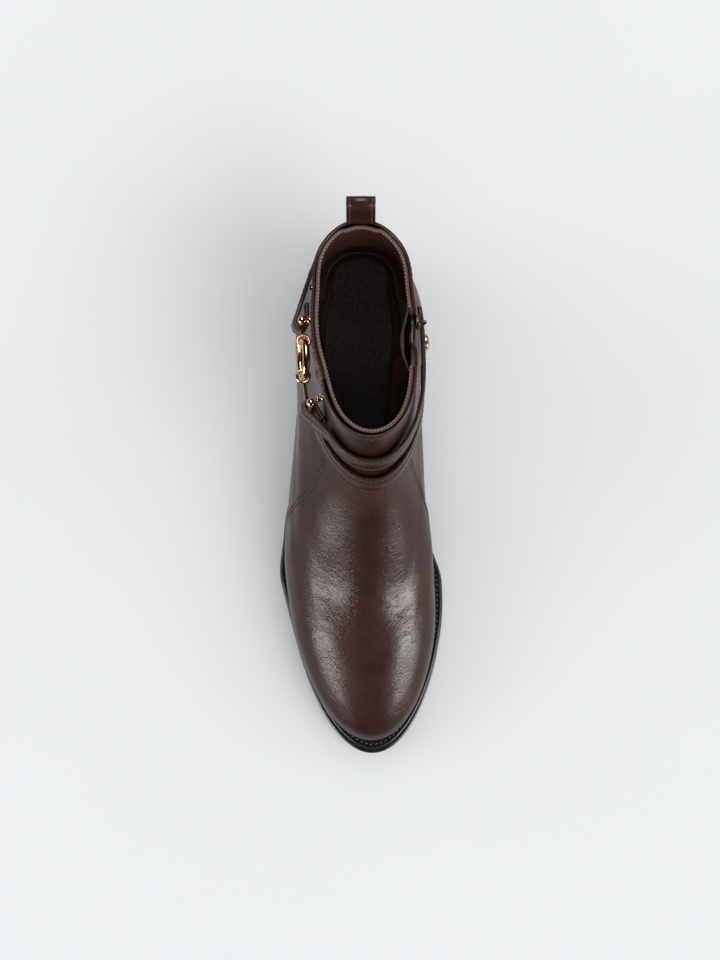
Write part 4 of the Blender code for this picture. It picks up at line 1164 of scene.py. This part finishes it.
# Profiles as (radius, height), and the studs' places as (s, height share)
STUD_PROFILE = ((0.0, 0.0), (2.2, 0.0), (2.2, 0.55), (2.05, 0.75), (1.5, 1.05), (1.4, 1.3), (1.4, 1.9),
                (1.6, 2.2), (1.95, 2.35), (2.0, 2.6), (1.8, 2.9), (1.3, 3.1), (0.0, 3.2))
REAR_STUD_PROFILE = ((0.0, 0.0), (1.8, 0.0), (1.8, 1.45), (1.7, 1.7), (1.45, 1.8), (0.0, 1.8))
POST_PROFILE = ((0.0, 0.0), (1.4, 0.0), (1.4, 1.2), (1.3, 1.3), (0.0, 1.3))
STUDS = {"front_stud": ((79.6, 0.845), STUD_PROFILE), "rear_stud": ((42.4, 0.832), REAR_STUD_PROFILE),
         "strap_post": ((26.0, 0.752), POST_PROFILE)}
SNAP_S = 53.2
SNAP_PROFILE = ((0.0, 0.0), (4.2, 0.0), (4.2, 0.55), (4.05, 0.8), (3.7, 1.0), (3.5, 0.95), (3.3, 1.2),
                (2.6, 1.52), (1.6, 1.73), (0.0, 1.8))


def leaning(angle):
    """An upright direction with its top leaning towards the shaft."""
    return np.array([math.sin(angle), 0, math.cos(angle)])


def ball_profile(centre, start, end):
    angles = np.linspace(start, end, 12)
    return [(BALL_RADIUS * math.sin(a), centre - BALL_RADIUS * math.cos(a)) for a in angles]


def add_bar(name, bar, ring_end):
    """A bar with a ball at each end, and a rod from its middle to an eye round the ring's end."""
    top, low = at(bar[0]), at(bar[1])
    neck = math.asin(BAR_RADIUS / BALL_RADIUS)
    profile = ball_profile(0, 0, math.pi - neck) + ball_profile(np.linalg.norm(top - low), neck, math.pi)
    middle = (top + low) / 2
    eye_centre = at(RING_CENTRE) + (0, -ring_end * (RING_LENGTH / 2 - RING_WIRE), 0)
    toward = unit(middle - eye_centre)
    upright = leaning(RING_LEAN - RING_SWING / 2)
    eye_normal = unit(upright - toward * np.dot(upright, toward))
    rod_start = eye_centre + toward * EYE_RADIUS
    rod = ((ROD_RADIUS, 0.0), (ROD_RADIUS, np.linalg.norm(middle - rod_start)))
    eye = oval(eye_centre, toward, np.cross(eye_normal, toward), EYE_RADIUS, EYE_RADIUS, EYE_WIRE, 48, 14)
    parts = [turned(profile, low, top - low), turned(rod, rod_start, toward), eye]
    add_parts(name + "_metal", parts, GOLD, name)


def add_turned(name, profile, turn, v, lift):
    """A turned metal piece that stands square on the upper, lifted off it."""
    base, normal = surface(turn, v)
    part = turned(profile, base + normal * lift, normal)
    add_parts(name + "_metal", [part], GOLD, name)


def add_metal():
    """The bit at the lateral side, the studs that hold it, and the snap of the tab."""
    add_bar("front_bar", FRONT_BAR, 1)
    add_bar("rear_bar", REAR_BAR, -1)
    ring = oval(at(RING_CENTRE), np.array([0.0, -1.0, 0.0]), leaning(RING_LEAN), RING_LENGTH / 2 - RING_WIRE,
                RING_HEIGHT / 2 - RING_WIRE, RING_WIRE, 96, 24)
    add_parts("bit_ring_metal", [ring], GOLD, "bit_ring", "ring")
    for name, ((s, v), profile) in STUDS.items():
        add_turned(name, profile, turn_at(s, v, 1), v, GAP)
    v = float(tab_height(SNAP_S))
    add_turned("snap_cap", SNAP_PROFILE, turn_at(SNAP_S, v, -1), v, TAB_LIFT + STRAP_THICK + GAP)


# Zip: main sizes as in the part
ZIP_TOP = 0.985
ZIP_END = ZIP_FOOT + 0.005
TAPE_HALF = 7.0
TAPE_CLEAR = 0.7
TAPE_THICK = 0.8
TAPE_BACK = WALL + GAP + TAPE_THICK + TAPE_CLEAR
TAPE_SPLIT, SPLIT_DEPTH = 0.2, 0.3
ZIP_HEIGHTS = np.linspace(ZIP_TOP, ZIP_END, 60)
TOOTH_PITCH = 1.5
TOOTH_OUT = 1.6
TOOTH_SIDE = 0.6
TOOTH_LENGTH = 2.6
TOOTH_WIDTH = 0.95
GUARD_THICK = 1.0
GUARD_BULGE = 3.2
GUARD_REAR_RUN = 5.0
GUARD_REAR = -8.0
GUARD_FRONT = 14.0
GUARD_WIDEN = 13.0
GUARD_EDGE_DEPTH = 2.8
GUARD_FLAT = 0.3
SLIDER_AT = 0.955
SLIDER_SQUARE = 0.45
SLIDER_OUT = 0.5
BRIDGE_RADIUS = 1.75
BRIDGE_WIRE = 0.55
PIVOT_OUT = 2.7
PULL_LENGTH = 16.0
PULL_HALF = 2.6
PULL_THICK = 0.8
PULL_NECK = (2.4, 4.2)
PULL_SHOULDER = 6.0
PULL_TIP = (1.4, 2.0)
PULL_EYE = (1.5, 3.1)
PULL_BEVEL = 0.12
# The slider's body down the zip as (place, half width, half thickness)
SLIDER_LOFT = ((-4.2, 1.6, 0.7), (-3.9, 2.3, 1.1), (-3.0, 2.9, 1.35), (-1.0, 3.1, 1.4), (1.5, 2.7, 1.4),
               (3.2, 2.1, 1.35), (3.9, 1.7, 1.1), (4.2, 1.2, 0.7))


def zip_frame(v, lift):
    """Centres along the zip's line, and the directions forward across it and out of it."""
    turns = zip_turn(v)
    base, normal = surface(turns, v)
    step = 0.02
    across = unit(upper_point(turns - step, v) - upper_point(turns + step, v))
    return base + normal * lift, across, normal


def add_tape():
    """The woven tape, with the split between its halves."""
    centres, across, normal = zip_frame(ZIP_HEIGHTS, -TAPE_BACK)
    section = ((-TAPE_HALF, 0), (TAPE_HALF, 0), (TAPE_HALF, TAPE_THICK), (TAPE_SPLIT, TAPE_THICK),
               (0.0, TAPE_THICK - SPLIT_DEPTH), (-TAPE_SPLIT, TAPE_THICK), (-TAPE_HALF, TAPE_THICK))
    rings = np.stack([centres + across * a + normal * o for a, o in section], axis=1)
    quads = grid_faces(len(rings), len(section))
    add_piece("zip_tape_cloth", rings.reshape(-1, 3), quads, [ZIP_CLOTH], "zip_tape")


def add_teeth():
    """A row of teeth on each half of the tape."""
    run = run_along(zip_frame(ZIP_HEIGHTS, -TAPE_BACK)[0])
    teeth = []
    for side, start in ((1, 0.0), (-1, TOOTH_PITCH / 2)):
        heights = np.interp(np.arange(start, run[-1], TOOTH_PITCH), run, ZIP_HEIGHTS)
        place, ahead, out = zip_frame(heights, -TAPE_BACK + TOOTH_OUT)
        teeth.append(capsules(place + ahead * side * TOOTH_SIDE, ahead, out, TOOTH_LENGTH, TOOTH_WIDTH, 0.0))
    add_parts("zip_teeth", teeth, DARK_METAL, None)


def guard_face():
    """The guard's outer face, bowed inwards and as wide as the notch at the collar, and its normals."""
    v = np.linspace(ZIP_TOP, ZIP_END, 50).reshape(-1, 1)
    opened = up_to_collar(v, NOTCH_START)
    shares = np.linspace(0, 1, 25).reshape(1, -1)
    front = GUARD_FRONT + GUARD_WIDEN * opened
    offsets = GUARD_REAR + (front - GUARD_REAR) * shares
    depth = TAPE_BACK + 2 * GAP
    forward = np.clip((offsets - TAPE_HALF - 1) / (front - TAPE_HALF - 1), 0, 1)
    behind = ease(-offsets / GUARD_REAR_RUN) * opened
    inset = depth + (GUARD_EDGE_DEPTH - depth) * np.maximum(forward ** 1.5, behind)
    bow = np.sin(math.pi * ((1 + GUARD_FLAT) * shares - GUARD_FLAT))
    inset = inset + GUARD_BULGE * opened * np.clip(bow, 0, 1)
    turns = zip_turn(v) - offsets / turn_pace(zip_turn(v), v)
    base, normals = surface(turns, v)
    return base - normals * inset[..., None], normals


def add_guard():
    """The guard behind the zip, with a dark edge."""
    face, normals = guard_face()
    loop = np.concatenate([face, (face - normals * GUARD_THICK)[:, ::-1]], axis=1)
    rows, count = loop.shape[:2]
    quads = grid_faces(rows, count).tolist()
    ends = [[start + i, start + i + 1, start + count - 2 - i, start + count - 1 - i]
            for start in (0, (rows - 1) * count) for i in range(count // 2 - 1)]
    index = [0] * len(quads) + [1] * len(ends)
    tidy_normals(add_piece("zip_guard_leather", loop.reshape(-1, 3), quads + ends, [LINING, PAINTED_EDGE],
                           "zip_guard", index=index))


def slider_frame():
    """The slider's place on the zip, with its directions across, down the zip and out."""
    v = SLIDER_AT + np.array([-0.03, 0.0, 0.03])
    line, normals = surface(zip_turn(v), v)
    down = unit(line[0] - line[2])
    out = unit(normals[1] - down * np.dot(normals[1], down))
    return line[1], np.cross(down, out), down, out


def add_slider():
    """The slider's body, drawn in towards its closed end, with the bridge that holds the pull."""
    origin, across, down, out = slider_frame()
    angles = round_turns(28)
    round_x, round_y = (np.sign(c) * abs(c) ** SLIDER_SQUARE for c in (np.cos(angles), np.sin(angles)))
    rings = [origin + down * place + np.outer(round_x * half, across)
             + np.outer(SLIDER_OUT + round_y * thick, out) for place, half, thick in SLIDER_LOFT]
    ends = [np.repeat(ring.mean(axis=0)[None], len(angles), axis=0) for ring in (rings[0], rings[-1])]
    body = np.concatenate([ends[0], *rings, ends[1]]), grid_faces(len(rings) + 2, len(angles))
    bridge = oval(origin + out * PIVOT_OUT, down, out, BRIDGE_RADIUS, BRIDGE_RADIUS, BRIDGE_WIRE, 32, 12)
    add_parts("zip_slider_metal", [body, bridge], DARK_METAL, "zip_slider")


def pull_outlines():
    """The pull's outline and that of its eye, as (across, down) from the pivot."""
    half_bar = PULL_THICK / 2
    neck, neck_end = PULL_NECK
    tip, tip_length = PULL_TIP
    eye_half, eye_end = PULL_EYE
    side = [(neck, -half_bar), (neck, neck_end), (PULL_HALF, PULL_SHOULDER),
            (PULL_HALF, PULL_LENGTH - tip_length), (tip, PULL_LENGTH)]
    eye = [(-eye_half, half_bar), (eye_half, half_bar), (eye_half, eye_end), (-eye_half, eye_end)]
    return side + [(-x, y) for x, y in reversed(side)], eye


def add_pull():
    """The pull tab: a flat outline with an eye and eased edges."""
    curve = bpy.data.curves.new("zip_pull_outline", "CURVE")
    curve.dimensions = "2D"
    curve.fill_mode = "BOTH"
    curve.extrude = (PULL_THICK / 2 - PULL_BEVEL) * MM
    curve.bevel_depth = PULL_BEVEL * MM
    curve.offset = -PULL_BEVEL * MM
    for outline in pull_outlines():
        spline = curve.splines.new("POLY")
        spline.points.add(len(outline) - 1)
        for point, (x, y) in zip(spline.points, outline):
            point.co = (x * MM, y * MM, 0, 1)
        spline.use_cyclic_u = True
    shape = bpy.data.objects.new("zip_pull_outline", curve)
    mesh = bpy.data.meshes.new_from_object(shape)
    bpy.data.objects.remove(shape)
    origin, across, down, out = slider_frame()
    turn = Matrix((across, down, out)).transposed().to_4x4()
    mesh.transform(Matrix.Translation(Vector(origin + out * PIVOT_OUT) * MM) @ turn)
    mesh.materials.append(DARK_METAL)
    settle(add_object("zip_pull_metal", mesh), "zip_pull", "pull")


LOOP_WIDTH = 13.7
LOOP_THICK = 1.4
LOOP_SEAM = 1.7
# The pull loop's inner face as (s, z), a little rounder at its fold than in the part, with its inner leg
# on down behind the lining
PULL_LOOP = ((-0.4, 126.0), (-1.7, 134.0), (-2.9, 142.0), (-4.1, 150.0), (-5.9, 157.0), (-8.2, 163.2),
             (-9.9, 166.6), (-10.6, 168.1), (-9.4, 168.8), (-7.6, 168.2), (-5.3, 164.2), (-3.5, 158.2),
             (-2.7, 153.5), (-2.3, 150.4), (-1.9, 146.0))


def add_pull_loop():
    middle = UPPER_LEVELS[-1][LEVEL_COLUMNS.index("c_back")]
    centres = np.array([at((s, middle, z)) for s, z in PULL_LOOP])
    across = np.tile((-1.0, 0.0, 0.0), (len(centres), 1))
    loop = Ribbon((centres, across), 130, LOOP_WIDTH, LOOP_THICK, LOOP_SEAM)
    loop.add("pull_loop_leather", "pull_loop")
    add_parts("loop_stitches", loop.seams(0.02, 0.95) + [loop.cross_seam(0.03)], THREAD)


# Seams and edges on the upper
COLLAR_ROW = 0.982
ZIP_ROW = 2.2
ROW_LIFT = 0.12
WELT_PITCH = 2.7
WELT_STITCH = 2.0
WELT_THREAD_WIDTH = 0.65
WELT_SLANT = math.radians(24)
WELT_THREAD_LEVEL = 0.86
LINING_STITCH = {"pitch": 3.0, "length": 3.1, "width": 0.7}
# Depths below the skin of the cut edge along the zip's slot, and how far each goes up at the collar
SLOT_EDGE = ((0.0, 0.35), (0.7, 0.95), (1.4, 0.6), (1.75, 0.6), (3.0, 0.4))


def skin_row(turns, v, lift):
    """A row of points on the skin, and their normals."""
    base, normal = surface(turns, v)
    lap, share = lap_height(turns, v)
    lift = lift + lap * ((share > 0) & (share < 1)) + crease_height(base)
    return base + normal * lift[:, None], normal


def add_vamp_seams():
    """Stitches of the vamp's edges."""
    v = np.linspace(0.03, 0.985, 160)
    low = v[v * TOP_LEVEL < MEDIAL_LAP_END]
    lateral, medial = vamp_edges(v)[0], vamp_edges(low)[1]
    rows = []
    for distance in SEAM_ROWS:
        rows.append(skin_row(lateral + distance / turn_pace(lateral, v), v, -SEAM_GROOVE / 2))
        rows.append(skin_row(medial - distance / turn_pace(medial, low), low, -SEAM_GROOVE / 2))
    add_parts("vamp_stitches", [stitches(*row) for row in rows], SEAM_THREAD)


def add_upper_seams():
    """Stitches below the collar and beside the zip."""
    front, rear = slot_turns(COLLAR_ROW)
    margin = ZIP_ROW / turn_pace(front, COLLAR_ROW)
    turns = np.linspace(rear - 2 * math.pi + margin, front - margin, 400)
    rows = [skin_row(turns, np.full(len(turns), COLLAR_ROW), ROW_LIFT)]
    v = np.linspace(ZIP_FOOT, COLLAR_ROW, 90)
    front, rear = slot_turns(v)
    rows.append(skin_row(front - ZIP_ROW / turn_pace(front, v), v, ROW_LIFT))
    rows.append(skin_row(rear + ZIP_ROW / turn_pace(rear, v), v, ROW_LIFT))
    add_parts("upper_stitches", [stitches(*row) for row in rows], THREAD)


def add_welt_stitches():
    line = outset(welt_plan(), -GROOVE_INSET)
    path = raised(line, welt_bottom(line[:, 0]) + WELT_THICK * WELT_THREAD_LEVEL)
    normals = np.tile((0.0, 0.0, 1.0), (len(path), 1))
    row = stitches(path, normals, WELT_PITCH, WELT_STITCH, WELT_THREAD_WIDTH, WELT_SLANT)
    add_parts("welt_stitches", [row], WELT_THREAD)


def add_slot_edges():
    """The cut edges of leather and lining along the zip's slot."""
    v = np.linspace(ZIP_FOOT, 1, 70)
    for name, turns in zip(("front", "rear"), slot_turns(v)):
        base, normal = surface(turns, v)
        normal[-1] = level_out(normal[-1])
        grid = np.stack([base - normal * depth for depth, up in SLOT_EDGE], axis=1)
        top = grid[-1] + np.array([(0, 0, up) for depth, up in SLOT_EDGE])
        grid = np.concatenate([grid, top[None]])
        index = np.tile((1, 1, 0, 0), len(v))
        add_piece("slot_edge_" + name, grid.reshape(-1, 3), grid_faces(len(v) + 1, len(SLOT_EDGE), False),
                  [RAW_EDGE, PAINTED_EDGE], None, index=index)


# The lining's raw edge at the collar as (inward, up) from the upper's outer surface
RAW_TURN = ((2.95, -1.2), (3.05, 0.2), (2.8, 0.55), (2.1, 0.65), (1.75, 0.3), (1.75, -1.5))
ZIGZAG_LEAN = 0.6


def add_collar_edge():
    """The lining's raw edge with its zigzag seam, pushed in at the back by the pull loop."""
    front, rear = slot_turns(1.0)
    turns = np.linspace(rear - 2 * math.pi, front, 1100)
    base, normal = surface(turns, 1.0)
    flat = level_out(normal)
    push = loop_push(base)
    rows = [base - flat * (inward + push)[:, None] + (0, 0, up) for inward, up in RAW_TURN]
    quads = grid_faces(len(rows), len(turns), False)[:, ::-1]
    add_piece("lining_edge", np.concatenate(rows), quads, [RAW_EDGE], None)
    seam = zigzag(rows[1], unit((0, 0, 1.0) - ZIGZAG_LEAN * flat), ZIGZAG_WIDTH)
    add_parts("lining_edge_seam", [seam], PINK_THREAD)


GRIP_TURN = 0.98
GRIP_THREAD = 0.4
# The heel grip's rows as (height above the footbed, inward of the lining)
GRIP_ROWS = ((-1.0, 0.4), (1.5, 0.4), (3.6, 0.4), (4.8, 0.35), (5.2, 0.0))


def add_heel_grip():
    """A strip round the heel above the footbed, with a zigzag seam along its upper edge."""
    turns = np.linspace(-GRIP_TURN, GRIP_TURN, 420)
    v = np.linspace(0, 0.35, 80).reshape(-1, 1)
    points = upper_point(np.repeat(turns[None], len(v), axis=0), v)
    above = points[..., 2] - footbed(HEEL_CENTRE - points[..., 1])
    rows = []
    for height, inward in GRIP_ROWS:
        place = np.array([np.interp(height, column, v[:, 0]) for column in above.T])
        inside, ahead = lining_point(turns, place)
        rows.append(inside + ahead * inward)
    faces = grid_faces(len(rows), len(turns), False)[:, ::-1]
    add_piece("heel_grip", np.concatenate(rows), faces, [GRIP], None)
    add_parts("heel_grip_seam", [zigzag(rows[-2], ahead, GRIP_THREAD)], PINK_THREAD)


def add_lining_seam():
    """The closed seam at the back of the lining."""
    v = np.linspace(0.1, 0.975, 60)
    inside, inward = lining_point(np.zeros(len(v)), v)
    add_parts("lining_seam", [stitches(inside, inward, **LINING_STITCH)], LINING, None)


# Stage


def add_floor():
    mesh = bpy.data.meshes.new("floor")
    half = 4.0
    corners = [(-half, -half, 0), (half, -half, 0), (half, half, 0), (-half, half, 0)]
    mesh.from_pydata(corners, [], [(0, 1, 2, 3)])
    n = Nodes("floor_paper", Roughness=0.9, Specular_IOR_Level=0.1)
    n.join("Base Color", n.mix(n.noise(3.0), (0.80, 0.81, 0.82), (0.83, 0.84, 0.85)))
    mesh.materials.append(n.material)
    floor = add_object("floor", mesh)
    floor.visible_glossy = False


# Strip softboxes that the leather mirrors: azimuth and elevation of the low and high end seen from the boot,
# width and power
SOFTBOXES = {"softbox_right": ((-17, 6), (-44, 36), 0.44, 32.0),
             "softbox_left": ((-156, 9), (-135, 33), 0.44, 21.0),
             "softbox_back": ((90, 30), (90, 72), 0.6, 14.0)}
SOFTBOX_DISTANCE = 1.5
BOOT_MIDDLE = Vector((0.0, -0.09, 0.05))
# Wide soft lights that light the floor evenly: azimuth, elevation, angle across and strength
SKY_LIGHTS = {"overhead": (-70, 76, 50, 0.38), "side": (-36, 52, 40, 0.85), "fill_left": (175, 14, 60, 0.9),
              "fill_right": (5, 14, 60, 0.7), "fill_back": (90, 30, 60, 0.45),
              "fill_front": (-90, 14, 60, 0.35)}
# What the boot mirrors of the paper it stands on: size, height and power
PAPER_GLOW = (2.0, 0.0005, 7.3)


def direction(azimuth, elevation):
    azimuth, elevation = math.radians(azimuth), math.radians(elevation)
    return Vector((math.cos(elevation) * math.cos(azimuth), math.cos(elevation) * math.sin(azimuth),
                   math.sin(elevation)))


def place_light(light, centre, lengthways):
    """Put a light in the direction centre, facing the boot, with its long side along lengthways."""
    away = centre.normalized()
    across = lengthways.cross(away).normalized()
    obj = add_object(light.name, light)
    obj.matrix_world = Matrix((across, away.cross(across), away)).transposed().to_4x4()
    obj.location = BOOT_MIDDLE + away * SOFTBOX_DISTANCE
    return obj


def add_lights():
    for name, (low, high, width, power) in SOFTBOXES.items():
        light = bpy.data.lights.new(name, "AREA")
        low, high = direction(*low), direction(*high)
        light.shape = "RECTANGLE"
        light.size = width
        light.size_y = (high - low).length * SOFTBOX_DISTANCE
        light.energy = power
        softbox = place_light(light, low + high, high - low)
        softbox.visible_diffuse = False
    for name, (azimuth, elevation, across, strength) in SKY_LIGHTS.items():
        light = bpy.data.lights.new(name, "SUN")
        light.angle = math.radians(across)
        light.energy = strength
        sky = place_light(light, direction(azimuth, elevation), Vector((0, 0, 1)))
        sky.visible_glossy = False
    add_paper_glow()


def add_paper_glow():
    """A wide dim light that lies on the paper and is seen in reflections alone, in the paper's place."""
    size, height, power = PAPER_GLOW
    light = bpy.data.lights.new("paper_glow", "AREA")
    light.size = size
    light.energy = power
    glow = add_object("paper_glow", light)
    glow.matrix_world = Matrix.Translation((0, BOOT_MIDDLE.y, height)) @ Matrix.Rotation(math.pi, 4, "X")
    glow.visible_diffuse = False
    glow.visible_camera = False


ROOM_LIGHT = 0.50


def add_world():
    """Soft light from all round the room, which the boot doesn't mirror."""
    world = bpy.data.worlds.new("studio")
    world.use_nodes = True
    background = world.node_tree.nodes["Background"]
    background.inputs["Color"].default_value = (0.97, 0.985, 1.0, 1.0)
    background.inputs["Strength"].default_value = ROOM_LIGHT
    world.cycles_visibility.glossy = False
    bpy.context.scene.world = world


PHOTO_LONG_SIDE = 960
FOCAL_PIXELS = 2449.0
SENSOR = 36.0
CAMERA_PLACE = (0.0, -0.0913, 1.3)


def add_camera():
    """The photograph's camera, straight above the boot with the toe at the bottom."""
    camera = bpy.data.cameras.new("camera")
    camera.sensor_width = SENSOR
    camera.lens = FOCAL_PIXELS * SENSOR / PHOTO_LONG_SIDE
    obj = add_object("camera", camera)
    obj.location = CAMERA_PLACE
    bpy.context.scene.camera = obj


BUILDERS = (add_skin, add_lining, add_outsole, add_welt, add_insole, add_heel, add_top_lift, add_straps,
            add_metal, add_tape, add_teeth, add_guard, add_slider, add_pull, add_pull_loop,
            add_vamp_seams, add_upper_seams, add_welt_stitches, add_slot_edges, add_collar_edge,
            add_heel_grip, add_lining_seam, add_floor, add_lights, add_world, add_camera)
for build in BUILDERS:
    build()
bpy.context.scene.view_settings.view_transform = "Standard"
